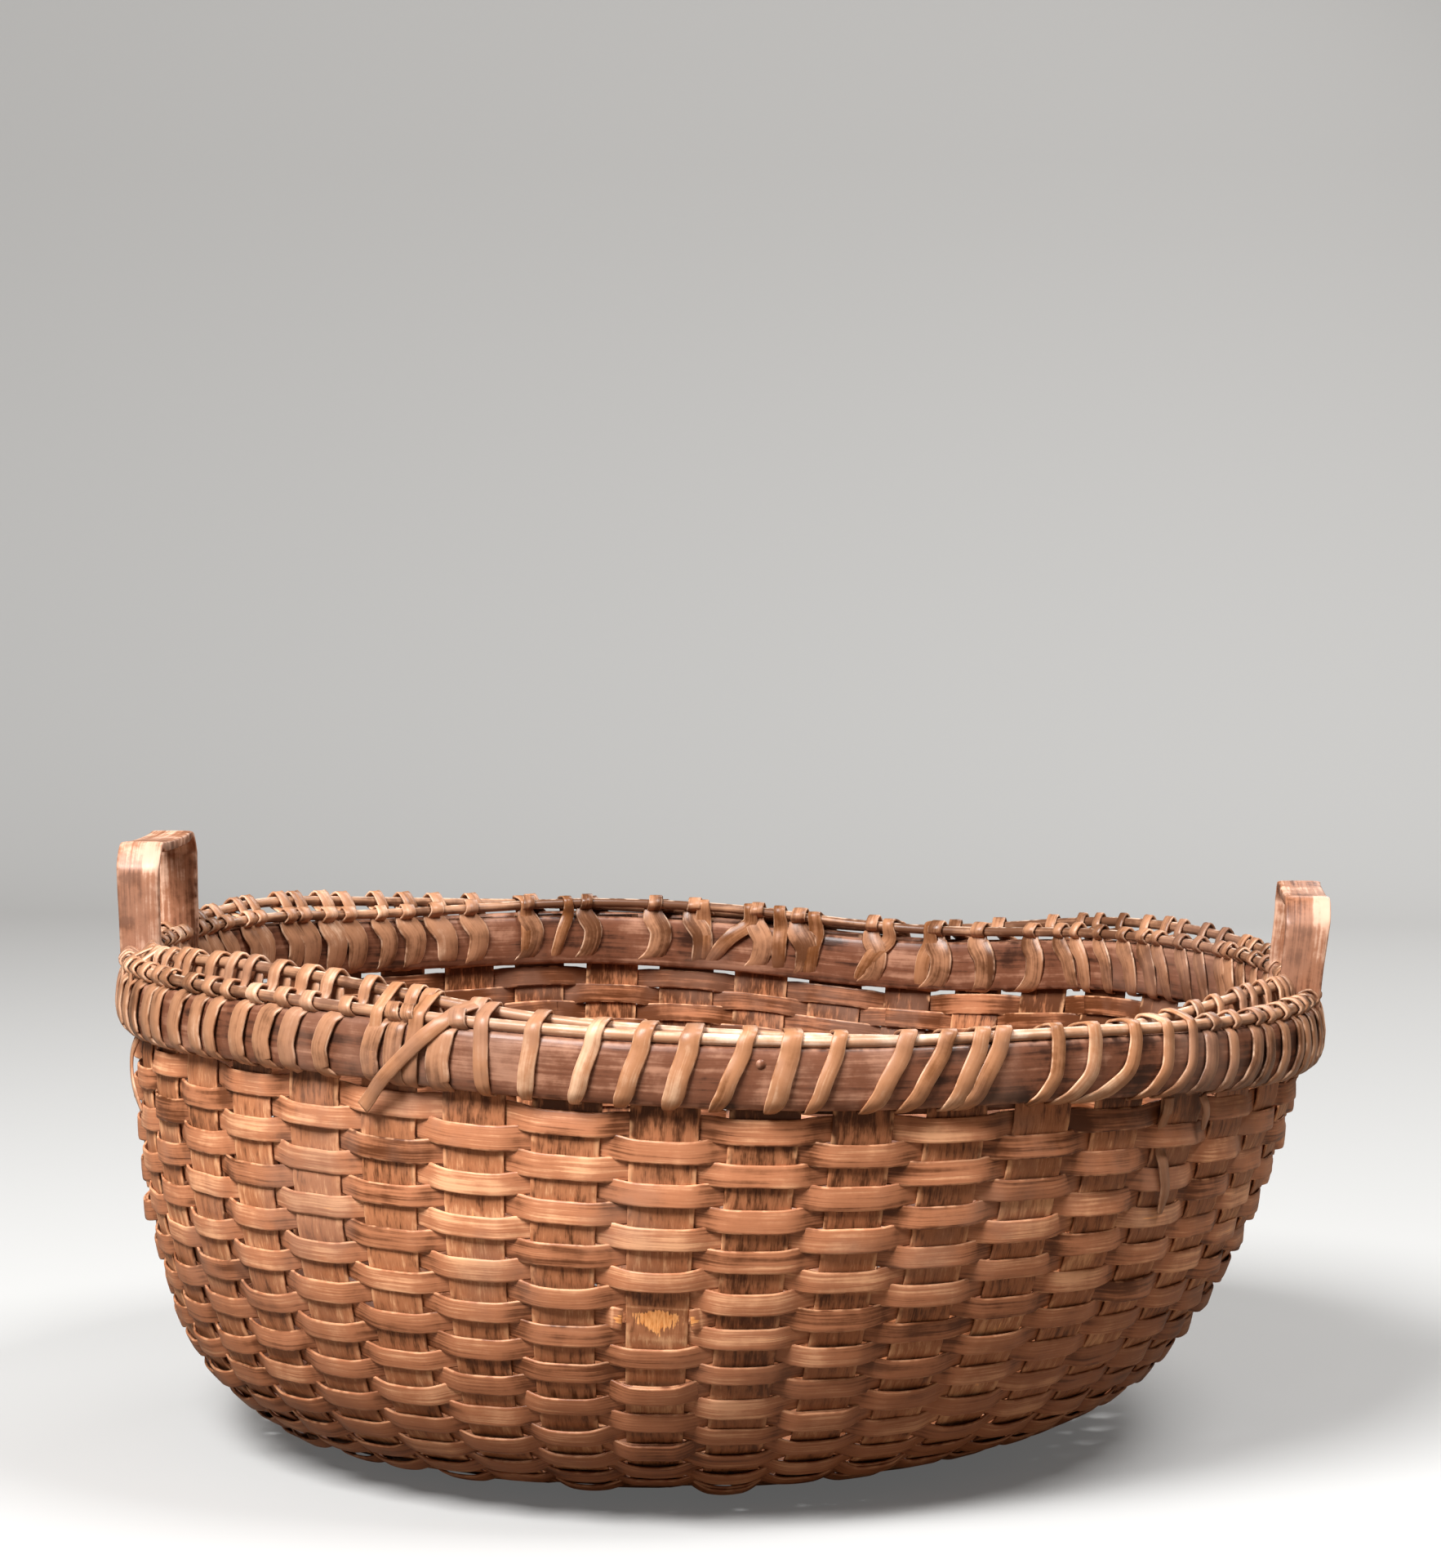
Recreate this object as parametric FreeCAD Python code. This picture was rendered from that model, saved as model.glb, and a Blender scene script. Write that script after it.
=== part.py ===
import FreeCAD, Part
import math
import os

# Round open basket of split rattan: plaited base, woven wall, lashed hoop rim and two strap handles.
# Millimetres, +Z up, origin on the ground under the middle of the rim, handles at the two ends of X.

# Stakes: long splints that run from the rim, down the wall, across the base and up the other side
LENGTHWISE_COUNT = 10
CROSSWISE_COUNT = 11
STAKE_THICK = 1.2
STAKE_WIDTH_RIM = 24.0
STAKE_WIDTH_FOOT = 18.5
STAKE_WIDTH_BASE = 16.5
PLAIT_GAP = 4.5
PLAIT_MARGIN = 0.8
PLAIT_CLEARANCE = 0.35

# Bowl: the middle of the stakes follows a flat, a shallow dish, a corner and a bulging wall
DISH_START = 35.3
DISH_RADIUS = 224.0
DISH_TURN = 14.0
CORNER_RADIUS = 70.0
CORNER_TURN = 50.0
WALL_RADIUS = 248.0
FOOT_RUN = 8.0
BASE_OFFSET = 20.0

# Weavers: thin splints woven over one stake and under the next, one closed ring for each row
ROWS_IN_PANELS = (5, 5, 5, 4, 4)
ROW_TAPER = 0.79
ROW_GAP = 0.5
WEAVER_THICK = 1.0
WEAVER_MARGIN = 0.8
WEAVE_CLEARANCE = 0.15

# Rim: the stake tops stand between two hoops, with a thin rod along the top of each hoop
HOOP_HEIGHT = 22.0
OUTER_HOOP_THICK = 6.5
INNER_HOOP_THICK = 5.5
INNER_HOOP_RISE = 3.0
HOOP_EDGE = 1.6
HOOP_SHOULDER = 6.0
STAKE_TOP_INSET = 1.0
ROD_DIAMETER = 4.2
ROD_SIDES = 6
ROD_SPREAD = 9.2
RIM_CLEARANCE = 0.25

# Lashing: flat cane wound round hoops and rods, once through each gap between two stakes
STRAND_WIDTH = 5.5
STRAND_THICK = 0.8
STRAND_SLANT = 9.0
LASHING_CLEARANCE = 0.3
END_LASHING_GAPS = 5

# Handles: a flat strap folded into a square arch, its feet cut to tongues that stand in the rim
HANDLE_GAP = 1
HANDLE_WIDTH = 17.0
HANDLE_THICK = 4.5
HANDLE_RISE = 40.0
HANDLE_FOLD = 9.0
HANDLE_FOLD_THICK = 2.4
TONGUE_INSET = 2.0
HANDLE_CLEARANCE = 0.3

# Sizes that follow from the ones above
STAKE_ENDS = 2 * (LENGTHWISE_COUNT + CROSSWISE_COUNT)
HALF_TURN = STAKE_ENDS // 2
ROW_COUNT = sum(ROWS_IN_PANELS)
SECTOR = 2.0 * math.pi / STAKE_ENDS
STAKE_ON_AXIS = LENGTHWISE_COUNT % 2
STAKE_PHASE = 0.0 if STAKE_ON_AXIS else 0.5
GAP_PHASE = 0.5 - STAKE_PHASE
BASE_PITCH = STAKE_WIDTH_BASE + PLAIT_GAP
PLAIT_CORNER = math.hypot(CROSSWISE_COUNT - 1, LENGTHWISE_COUNT - 1) * BASE_PITCH / 2.0
BASE_FLAT_RADIUS = PLAIT_CORNER - DISH_START
PLAIT_STEP = STAKE_THICK + PLAIT_CLEARANCE
PLAIT_REACH = STAKE_WIDTH_BASE / 2.0 + PLAIT_MARGIN
BASE_LEVEL = PLAIT_STEP + STAKE_THICK / 2.0
DISH_ANGLE = math.radians(DISH_TURN)
CORNER_ANGLE = DISH_ANGLE + math.radians(CORNER_TURN)
DISH_END_RADIUS = BASE_FLAT_RADIUS + DISH_RADIUS * math.sin(DISH_ANGLE)
DISH_END_HEIGHT = BASE_LEVEL + DISH_RADIUS * (1.0 - math.cos(DISH_ANGLE))
CORNER_END_RADIUS = DISH_END_RADIUS + CORNER_RADIUS * (math.sin(CORNER_ANGLE) - math.sin(DISH_ANGLE))
CORNER_END_HEIGHT = DISH_END_HEIGHT + CORNER_RADIUS * (math.cos(DISH_ANGLE) - math.cos(CORNER_ANGLE))
RIM_RADIUS = CORNER_END_RADIUS + WALL_RADIUS * (1.0 - math.sin(CORNER_ANGLE))
WALL_TOP = CORNER_END_HEIGHT + WALL_RADIUS * math.cos(CORNER_ANGLE)
WALL_RUN = WALL_RADIUS * (math.pi / 2.0 - CORNER_ANGLE)
CORNER_RUN = CORNER_RADIUS * (CORNER_ANGLE - DISH_ANGLE)
WEAVE_RUN = WALL_RUN + CORNER_RUN - FOOT_RUN

OUTER_FACE = RIM_RADIUS + STAKE_THICK / 2.0 + RIM_CLEARANCE
INNER_FACE = RIM_RADIUS - STAKE_THICK / 2.0 - RIM_CLEARANCE
OUTER_HOOP_FOOT = WALL_TOP + STRAND_THICK + 2.0 * LASHING_CLEARANCE
OUTER_HOOP_TOP = OUTER_HOOP_FOOT + HOOP_HEIGHT
INNER_HOOP_FOOT = OUTER_HOOP_FOOT + INNER_HOOP_RISE
INNER_HOOP_TOP = INNER_HOOP_FOOT + HOOP_HEIGHT
STAKE_TOP = OUTER_HOOP_TOP - STAKE_TOP_INSET
ROD_RADIUS = ROD_DIAMETER / 2.0
ROD_MIDDLE = RIM_RADIUS + (OUTER_HOOP_THICK - INNER_HOOP_THICK) / 4.0
OUTER_ROD_RADIUS = ROD_MIDDLE + ROD_SPREAD / 2.0
INNER_ROD_RADIUS = ROD_MIDDLE - ROD_SPREAD / 2.0
OUTER_ROD_HEIGHT = OUTER_HOOP_TOP + RIM_CLEARANCE + ROD_RADIUS
INNER_ROD_HEIGHT = INNER_HOOP_TOP + RIM_CLEARANCE + ROD_RADIUS
ROD_TOP = INNER_ROD_HEIGHT + ROD_RADIUS
TONGUE_RADIAL = ROD_SPREAD - ROD_DIAMETER - 2.0 * HANDLE_CLEARANCE
HANDLE_ANGLE = (HANDLE_GAP + GAP_PHASE) * SECTOR


def leaned(point):
    """Shift a point sideways: the base stands off-centre under the level, centred rim."""
    below = max(0.0, 1.0 - point.z / WALL_TOP)
    return FreeCAD.Vector(point.x - BASE_OFFSET * below, point.y, point.z)


def polar(radius, angle, across, height):
    """Point at a radius in the direction of an angle, moved across that direction."""
    x = radius * math.cos(angle) - across * math.sin(angle)
    y = radius * math.sin(angle) + across * math.cos(angle)
    return FreeCAD.Vector(x, y, height)


def outline(points):
    """Closed wire through a section's corners."""
    return Part.makePolygon(points + points[:1])


def patch(a, b, c, d):
    """Skin on four corners: one face where they lie in a plane, two where they are twisted."""
    normal = (b - a).cross(d - a).normalize()
    if abs(normal.dot(c - a)) < FreeCAD.Base.Precision.confusion():
        return [Part.Face(outline([a, b, c, d]))]
    return [Part.Face(outline([a, b, c])), Part.Face(outline([a, c, d]))]


def skinned(sections, ends):
    """Solid skinned from section to section, round a ring or between a strip's two end faces."""
    faces = [Part.Face(outline(section)) for section in ends]
    start = 1 if ends else 0
    for index in range(start, len(sections)):
        near, far = sections[index - 1], sections[index]
        for corner in range(len(near)):
            faces += patch(near[corner - 1], near[corner], far[corner], far[corner - 1])
    shell = Part.makeShell(faces)
    shell.sewShape()
    solid = Part.makeSolid(shell)
    if solid.Volume < 0.0:
        solid.reverse()
    return solid


def ring(sections):
    """Closed solid whose sections go once round the basket."""
    return skinned(sections, [])


def strip(sections):
    """Solid that runs from its first section to its last."""
    return skinned(sections, [sections[0], sections[-1]])


def save(shape, name):
    """Write one piece, after a test that it is whole."""
    if not shape.isValid() or shape.Volume <= 0.0:
        raise ValueError(name + " is not a sound solid")
    shape.exportStep("parts/" + name + ".step")


def profile(run):
    """Radius and height of the stakes' middle, a run down the wall from the foot of the rim."""
    if run <= WALL_RUN:
        angle = math.pi / 2.0 - run / WALL_RADIUS
        radius = RIM_RADIUS - WALL_RADIUS * (1.0 - math.sin(angle))
        return radius, WALL_TOP - WALL_RADIUS * math.cos(angle)
    angle = CORNER_ANGLE - (run - WALL_RUN) / CORNER_RADIUS
    radius = CORNER_END_RADIUS - CORNER_RADIUS * (math.sin(CORNER_ANGLE) - math.sin(angle))
    return radius, CORNER_END_HEIGHT - CORNER_RADIUS * (math.cos(angle) - math.cos(CORNER_ANGLE))


def dish(x, y):
    """Height of the base's middle over a place in plan."""
    beyond = max(0.0, math.hypot(x, y) - BASE_FLAT_RADIUS)
    return BASE_LEVEL + DISH_RADIUS - math.sqrt(DISH_RADIUS ** 2 - beyond ** 2)


def row_edges():
    """Runs down the wall at the row boundaries, closer together towards the foot."""
    shares = [1.0 - (1.0 - ROW_TAPER) * i / (ROW_COUNT - 1) for i in range(ROW_COUNT)]
    scale = WEAVE_RUN / sum(shares)
    runs = [0.0]
    for share in shares:
        runs.append(runs[-1] + share * scale)
    return runs


ROW_EDGES = row_edges()
PANEL_ROWS = [sum(ROWS_IN_PANELS[:index]) for index in range(len(ROWS_IN_PANELS) + 1)]
PANEL_RUNS = [ROW_EDGES[row] for row in PANEL_ROWS]
PANEL_POINTS = [profile(run) for run in PANEL_RUNS]


def stake_width(run):
    """Width of a stake a run down the wall."""
    return STAKE_WIDTH_RIM + (STAKE_WIDTH_FOOT - STAKE_WIDTH_RIM) * run / WEAVE_RUN


def panel_normal(index):
    """Outward direction, in radius and height, of one straight panel of the wall."""
    (r0, z0), (r1, z1) = PANEL_POINTS[index], PANEL_POINTS[index + 1]
    length = math.hypot(r1 - r0, z1 - z0)
    return (z0 - z1) / length, (r1 - r0) / length


def mitre(index):
    """Outward offset, for each unit of thickness, at the joint above panel index."""
    last = len(PANEL_POINTS) - 2
    above = (1.0, 0.0) if index == 0 else panel_normal(index - 1)
    below = panel_normal(min(index, last))
    sum_r, sum_z = above[0] + below[0], above[1] + below[1]
    scale = 2.0 / (sum_r ** 2 + sum_z ** 2)
    return sum_r * scale, sum_z * scale


def stake_section(angle, side, radius, height, width, out):
    """Cross-section of a stake on the wall, with its width turned to one side or the other."""
    half = side * width / 2.0
    thick = STAKE_THICK / 2.0
    corners = ((-half, -thick), (half, -thick), (half, thick), (-half, thick))
    return [
        leaned(polar(radius + lift * out[0], angle, across, height + lift * out[1]))
        for across, lift in corners
    ]


def stake_wall(angle, side):
    """Cross-sections of a stake from its top end to the foot of the wall."""
    sections = [stake_section(angle, side, RIM_RADIUS, STAKE_TOP, STAKE_WIDTH_RIM, (1.0, 0.0))]
    for index, (radius, height) in enumerate(PANEL_POINTS):
        width = stake_width(PANEL_RUNS[index])
        sections.append(stake_section(angle, side, radius, height, width, mitre(index)))
    return sections


def base_section(along, across, lift, turned):
    """Cross-section of a stake in the base, which follows the dish on both of its edges."""
    half = STAKE_WIDTH_BASE / 2.0
    thick = STAKE_THICK / 2.0
    corners = ((-half, thick), (half, thick), (half, -thick), (-half, -thick))
    points = []
    for aside, level in corners:
        x, y = (along, across + aside)
        if turned:
            x, y = -y, x
        points.append(leaned(FreeCAD.Vector(x, y, dish(x, y) + lift + level)))
    return points


def grid(count, index):
    """Place of one stake of a set, across the base."""
    return (index - (count - 1) / 2.0) * BASE_PITCH


def lengthwise_stake(index):
    """Stake along X, which passes over and under the crosswise stakes in the base."""
    across = grid(LENGTHWISE_COUNT, index)
    angle = (index - (LENGTHWISE_COUNT - 1) / 2.0) * SECTOR
    sections = stake_wall(angle, 1.0)
    for crossing in reversed(range(CROSSWISE_COUNT)):
        place = grid(CROSSWISE_COUNT, crossing)
        lift = PLAIT_STEP if (index + crossing) % 2 else -PLAIT_STEP
        sections.append(base_section(place + PLAIT_REACH, across, lift, False))
        sections.append(base_section(place - PLAIT_REACH, across, lift, False))
    return strip(sections + stake_wall(math.pi - angle, -1.0)[::-1])


def crosswise_stake(index):
    """Stake along Y, flat in the base between the lengthwise stakes that plait round it."""
    across = grid(CROSSWISE_COUNT, index)
    angle = math.pi / 2.0 + (index - (CROSSWISE_COUNT - 1) / 2.0) * SECTOR
    edge = grid(LENGTHWISE_COUNT, LENGTHWISE_COUNT - 1) + PLAIT_REACH
    places = [grid(LENGTHWISE_COUNT, crossing) for crossing in range(LENGTHWISE_COUNT)]
    curved = [along for along in places if math.hypot(along, across) > BASE_FLAT_RADIUS - BASE_PITCH]
    sections = stake_wall(angle, 1.0)
    for along in [edge] + curved[::-1] + [-edge]:
        sections.append(base_section(along, across, 0.0, True))
    return strip(sections + stake_wall(-angle, -1.0)[::-1])


def weaver(row):
    """One row: a ring with a flat outer face and a ridged back, over and under by turns."""
    panel = max(index for index, first in enumerate(PANEL_ROWS) if first <= row)
    (r0, z0), (r1, z1) = PANEL_POINTS[panel], PANEL_POINTS[panel + 1]
    start, end = PANEL_RUNS[panel], PANEL_RUNS[panel + 1]
    normal = panel_normal(panel)
    high = (ROW_EDGES[row] + ROW_GAP / 2.0 - start) / (end - start)
    low = (ROW_EDGES[row + 1] - ROW_GAP / 2.0 - start) / (end - start)
    reach = stake_width(ROW_EDGES[row]) / 2.0 + WEAVER_MARGIN
    seat = STAKE_THICK / 2.0 + WEAVE_CLEARANCE
    sections = []
    for stake in range(STAKE_ENDS):
        angle = (stake + STAKE_PHASE) * SECTOR
        over = (stake + row) % 2 == 0
        face, ridge = (seat + WEAVER_THICK, seat) if over else (-seat, -seat - WEAVER_THICK)
        for across in (-reach, reach):
            points = []
            for share, lift in ((high, face), (low, face), ((high + low) / 2.0, ridge)):
                radius = r0 + (r1 - r0) * share + lift * normal[0]
                height = z0 + (z1 - z0) * share + lift * normal[1]
                points.append(leaned(polar(radius, angle, across, height)))
            sections.append(points)
    return ring(sections)


def rim_ring(section):
    """Ring with a flat side on each stake, from a section in radius and height."""
    return ring([
        [polar(radius, (gap + GAP_PHASE) * SECTOR, 0.0, height) for radius, height in section]
        for gap in range(STAKE_ENDS)
    ])


def vertex_radius(face):
    """Radius at the corners of a ring whose flat sides lie at a face's distance."""
    return face / math.cos(SECTOR / 2.0)


def hoop(face, thick, foot):
    """Flattened hoop: plane against the stakes, rounded off on the side away from them."""
    near = vertex_radius(face)
    edge = math.copysign(HOOP_EDGE, thick)
    return rim_ring([
        (near, foot),
        (near + thick - edge, foot),
        (near + thick, foot + HOOP_SHOULDER),
        (near + thick, foot + HOOP_HEIGHT - HOOP_SHOULDER),
        (near + thick - edge, foot + HOOP_HEIGHT),
        (near, foot + HOOP_HEIGHT),
    ])


def rod(radius, height):
    """Thin rod that lies along the top of a hoop."""
    corners = [2.0 * math.pi * (i + 0.5) / ROD_SIDES for i in range(ROD_SIDES)]
    return rim_ring([
        (radius + ROD_RADIUS * math.cos(turn), height + ROD_RADIUS * math.sin(turn))
        for turn in corners
    ])


def strand_loop():
    """One lashing loop: radius, height and slant at its corners, foot first and round the outside."""
    spare = LASHING_CLEARANCE + STRAND_THICK / 2.0
    dip = STRAND_WIDTH * math.tan(SECTOR / 2.0) / 2.0
    outer = vertex_radius(OUTER_FACE) + OUTER_HOOP_THICK + spare
    inner = vertex_radius(INNER_FACE) - INNER_HOOP_THICK - spare - dip
    inner_top = min(inner, INNER_ROD_RADIUS - ROD_RADIUS - spare)
    climb = (INNER_ROD_RADIUS - inner_top) * INNER_HOOP_RISE / ROD_SPREAD
    foot = OUTER_HOOP_FOOT - spare
    slant = STRAND_SLANT / outer
    return [
        (outer, foot, 0.0),
        (outer, OUTER_ROD_HEIGHT, slant),
        (OUTER_ROD_RADIUS, OUTER_ROD_HEIGHT + ROD_RADIUS + spare, slant),
        (inner_top, ROD_TOP + spare + climb, slant),
        (inner, foot, SECTOR),
    ]


def strand_offset(corners, index):
    """Outward offset, for each unit of thickness, at one corner of the lashing loop."""
    normals = []
    for start in (index - 1, index):
        (r0, z0, _), (r1, z1, _) = corners[start], corners[(start + 1) % len(corners)]
        length = math.hypot(r1 - r0, z1 - z0)
        normals.append(((z1 - z0) / length, (r0 - r1) / length))
    sum_r, sum_z = normals[0][0] + normals[1][0], normals[0][1] + normals[1][1]
    scale = 2.0 / (sum_r ** 2 + sum_z ** 2)
    return sum_r * scale, sum_z * scale


def lashing(gaps):
    """Sections of one unbroken flat strand that loops the rim at each of a run of gaps."""
    corners = strand_loop()
    offsets = [strand_offset(corners, index) for index in range(len(corners))]
    half_thick = STRAND_THICK / 2.0
    half_wide = STRAND_WIDTH / 2.0
    sections = []
    for order, gap in enumerate(gaps):
        skipped = gaps[order + 1] - gap - 1 if order + 1 < len(gaps) else 0
        for index, (radius, height, slant) in enumerate(corners):
            passed = skipped if index == len(corners) - 1 else 0
            angle = (gap + passed + GAP_PHASE) * SECTOR + slant
            out_r, out_z = offsets[index]
            sections.append([
                polar(radius + lift * out_r, angle, across, height + lift * out_z)
                for across, lift in (
                    (-half_wide, -half_thick),
                    (half_wide, -half_thick),
                    (half_wide, half_thick),
                    (-half_wide, half_thick),
                )
            ])
    return sections


def tongue(angle, spare):
    """Block that stands between the hoops in one gap, larger all round by a clearance."""
    foot = OUTER_HOOP_FOOT + TONGUE_INSET - spare
    top = ROD_TOP + HANDLE_CLEARANCE
    deep = TONGUE_RADIAL + 2.0 * spare
    wide = HANDLE_THICK + 2.0 * spare
    corner = FreeCAD.Vector(ROD_MIDDLE - deep / 2.0, -wide / 2.0, foot)
    block = Part.makeBox(deep, wide, top - foot, corner)
    block.rotate(FreeCAD.Vector(0.0, 0.0, 0.0), FreeCAD.Vector(0.0, 0.0, 1.0), math.degrees(angle))
    return block


def handle(turn):
    """Square arch of strap, thinned at its two folds, at one end of the basket."""
    leg_x = ROD_MIDDLE * math.cos(HANDLE_ANGLE)
    outside = ROD_MIDDLE * math.sin(HANDLE_ANGLE) + HANDLE_THICK / 2.0
    inside = outside - HANDLE_THICK
    foot = ROD_TOP + HANDLE_CLEARANCE
    top = foot + HANDLE_RISE
    under = top - HANDLE_THICK
    inner_fold = HANDLE_FOLD + HANDLE_FOLD_THICK * math.sqrt(2.0) - HANDLE_THICK
    upper = [(outside, foot), (outside, top - HANDLE_FOLD), (outside - HANDLE_FOLD, top)]
    lower = [(outside - inner_fold, under), (inside, top - inner_fold), (inside, foot)]
    border = upper + [(-y, z) for y, z in reversed(upper)]
    border += [(-y, z) for y, z in reversed(lower)] + lower
    corners = [FreeCAD.Vector(leg_x - HANDLE_WIDTH / 2.0, y, z) for y, z in border]
    arch = Part.Face(outline(corners)).extrude(FreeCAD.Vector(HANDLE_WIDTH, 0.0, 0.0))
    for side in (-1.0, 1.0):
        arch = arch.fuse(tongue(side * HANDLE_ANGLE, 0.0))
    arch = arch.removeSplitter().Solids[0]
    arch.rotate(FreeCAD.Vector(0.0, 0.0, 0.0), FreeCAD.Vector(0.0, 0.0, 1.0), turn)
    return arch


def notched(hoop_solid):
    """Hoop with a mortise for each of the four handle tongues."""
    for end in (0.0, math.pi):
        for side in (-1.0, 1.0):
            hoop_solid = hoop_solid.cut(tongue(end + side * HANDLE_ANGLE, HANDLE_CLEARANCE))
    return hoop_solid.Solids[0]


def free_gaps(first, last):
    """Gaps between stakes from first to last, without those that hold a handle tongue."""
    sides = (-HANDLE_GAP - STAKE_ON_AXIS, HANDLE_GAP)
    legs = {(end + side) % STAKE_ENDS for end in (0, HALF_TURN) for side in sides}
    return [gap for gap in range(first, last + 1) if gap % STAKE_ENDS not in legs]


def least_gap(sections):
    """Least distance from one loop of a strand to the next, measured on its corners."""
    turn = len(strand_loop())
    return min(
        one.distanceToPoint(other)
        for near, far in zip(sections, sections[turn:])
        for one in near
        for other in far
    )


def build():
    """Make every piece and write it to its own file."""
    os.makedirs("parts", exist_ok=True)
    for index in range(LENGTHWISE_COUNT):
        save(lengthwise_stake(index), "stake_lengthwise_%02d" % (index + 1))
    for index in range(CROSSWISE_COUNT):
        save(crosswise_stake(index), "stake_crosswise_%02d" % (index + 1))
    for row in range(ROW_COUNT):
        save(weaver(row), "weaver_%02d" % (row + 1))
    save(notched(hoop(OUTER_FACE, OUTER_HOOP_THICK, OUTER_HOOP_FOOT)), "outer_hoop")
    save(notched(hoop(INNER_FACE, -INNER_HOOP_THICK, INNER_HOOP_FOOT)), "inner_hoop")
    save(rod(OUTER_ROD_RADIUS, OUTER_ROD_HEIGHT), "outer_rim_rod")
    save(rod(INNER_ROD_RADIUS, INNER_ROD_HEIGHT), "inner_rim_rod")
    save(handle(0.0), "handle_right")
    save(handle(180.0), "handle_left")
    after = END_LASHING_GAPS
    before = END_LASHING_GAPS + STAKE_ON_AXIS
    windings = {
        "lashing_right": (-before, after),
        "lashing_back": (after + 1, HALF_TURN - before - 1),
        "lashing_left": (HALF_TURN - before, HALF_TURN + after),
        "lashing_front": (HALF_TURN + after + 1, STAKE_ENDS - before - 1),
    }
    for name, (first, last) in windings.items():
        sections = lashing(free_gaps(first, last))
        save(strip(sections), name)
        print("%s: least gap between loops %.2f mm" % (name, least_gap(sections)))
    print("rim radius %.1f, wall top %.1f, rod top %.1f" % (RIM_RADIUS, WALL_TOP, ROD_TOP))


build()
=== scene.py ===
import math
import random

import bpy
import numpy as np
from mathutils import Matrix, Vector


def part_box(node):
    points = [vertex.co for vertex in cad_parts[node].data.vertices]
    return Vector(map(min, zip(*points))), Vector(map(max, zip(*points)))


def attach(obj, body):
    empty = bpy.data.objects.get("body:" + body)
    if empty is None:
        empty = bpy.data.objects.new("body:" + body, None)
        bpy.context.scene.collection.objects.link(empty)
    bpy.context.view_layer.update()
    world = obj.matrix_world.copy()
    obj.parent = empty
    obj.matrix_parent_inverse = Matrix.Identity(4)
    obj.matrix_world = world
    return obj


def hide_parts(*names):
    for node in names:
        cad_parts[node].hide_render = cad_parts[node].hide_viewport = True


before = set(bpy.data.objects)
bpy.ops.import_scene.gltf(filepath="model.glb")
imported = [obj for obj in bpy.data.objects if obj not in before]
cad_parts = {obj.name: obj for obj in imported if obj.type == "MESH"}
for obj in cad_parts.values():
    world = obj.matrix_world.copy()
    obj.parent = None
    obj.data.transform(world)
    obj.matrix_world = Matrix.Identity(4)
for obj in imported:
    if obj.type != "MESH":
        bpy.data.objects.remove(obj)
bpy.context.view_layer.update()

# A wide old basket of split cane: stakes, woven rows, a lashed double-hoop rim and two strap handles.
# Metres, +Z up, handles at the two ends of X, the side with the newer golden lashing towards -Y.
MM = 0.001
BODY = "root"

# Pieces of the frame, by name
LENGTHWISE, CROSSWISE, WEAVERS = (
    sorted(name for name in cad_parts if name.startswith(kind))
    for kind in ("stake_lengthwise", "stake_crosswise", "weaver")
)
STAKE_ENDS = 2 * (len(LENGTHWISE) + len(CROSSWISE))
SECTOR = math.tau / STAKE_ENDS

# Bowl: a flat base, a shallow dish, a corner and a bulging wall, leaned so that the base is off-centre
BASE_PITCH = 21.0 * MM
BASE_LEVEL = 2.15 * MM
BASE_FLAT_RADIUS = 106.0 * MM
DISH_RADIUS = 224.0 * MM
DISH_ANGLE = math.radians(14.0)
CORNER_RADIUS = 70.0 * MM
CORNER_ANGLE = DISH_ANGLE + math.radians(50.0)
WALL_RADIUS = 248.0 * MM
FOOT_RUN = 8.0 * MM
BASE_OFFSET = 20.0 * MM
DISH_END_RADIUS = BASE_FLAT_RADIUS + DISH_RADIUS * math.sin(DISH_ANGLE)
DISH_END_HEIGHT = BASE_LEVEL + DISH_RADIUS * (1.0 - math.cos(DISH_ANGLE))
CORNER_END_RADIUS = DISH_END_RADIUS + CORNER_RADIUS * (math.sin(CORNER_ANGLE) - math.sin(DISH_ANGLE))
CORNER_END_HEIGHT = DISH_END_HEIGHT + CORNER_RADIUS * (math.cos(DISH_ANGLE) - math.cos(CORNER_ANGLE))
RIM_RADIUS = CORNER_END_RADIUS + WALL_RADIUS * (1.0 - math.sin(CORNER_ANGLE))
WALL_TOP = CORNER_END_HEIGHT + WALL_RADIUS * math.cos(CORNER_ANGLE)
WALL_RUN = WALL_RADIUS * (math.pi / 2.0 - CORNER_ANGLE)
CORNER_RUN = CORNER_RADIUS * (CORNER_ANGLE - DISH_ANGLE)
WEAVE_RUN = WALL_RUN + CORNER_RUN - FOOT_RUN

# Splints
STAKE_THICK = 1.2 * MM
STAKE_WIDTH_RIM = 24.0 * MM
STAKE_WIDTH_FOOT = 18.5 * MM
STAKE_WIDTH_BASE = 20.2 * MM
FAN_COVER = 1.12
FAN_LIFT = 0.7 * MM
STAKE_SWAY = 0.35 * MM
STAKE_DRIFT = 0.8 * MM
STAKE_STEP = 3.5 * MM
FAN_STEPS = 5
PLAIT_STEP = 1.55 * MM
PLAIT_REACH = 9.05 * MM
STAKE_PLUMB = 0.5
ROW_START = 2.2 * MM
ROW_TAPER = 0.79
WEAVER_THICK = 1.1 * MM
WEAVER_LIFT = 1.4 * MM
WEAVER_BULGE = 1.5 * MM
WEAVER_SAG = 0.5 * MM
WEAVER_SPREAD = 1.10
WEAVER_PINCH = 1.18
WEAVER_CROSSING = 0.55
PLAIT_CROSSING = 0.2
WEAVER_STATIONS = 16
WEAVER_LAP = 2
LAP_END = 0.25
LAP_CLIMB = 0.4

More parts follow.
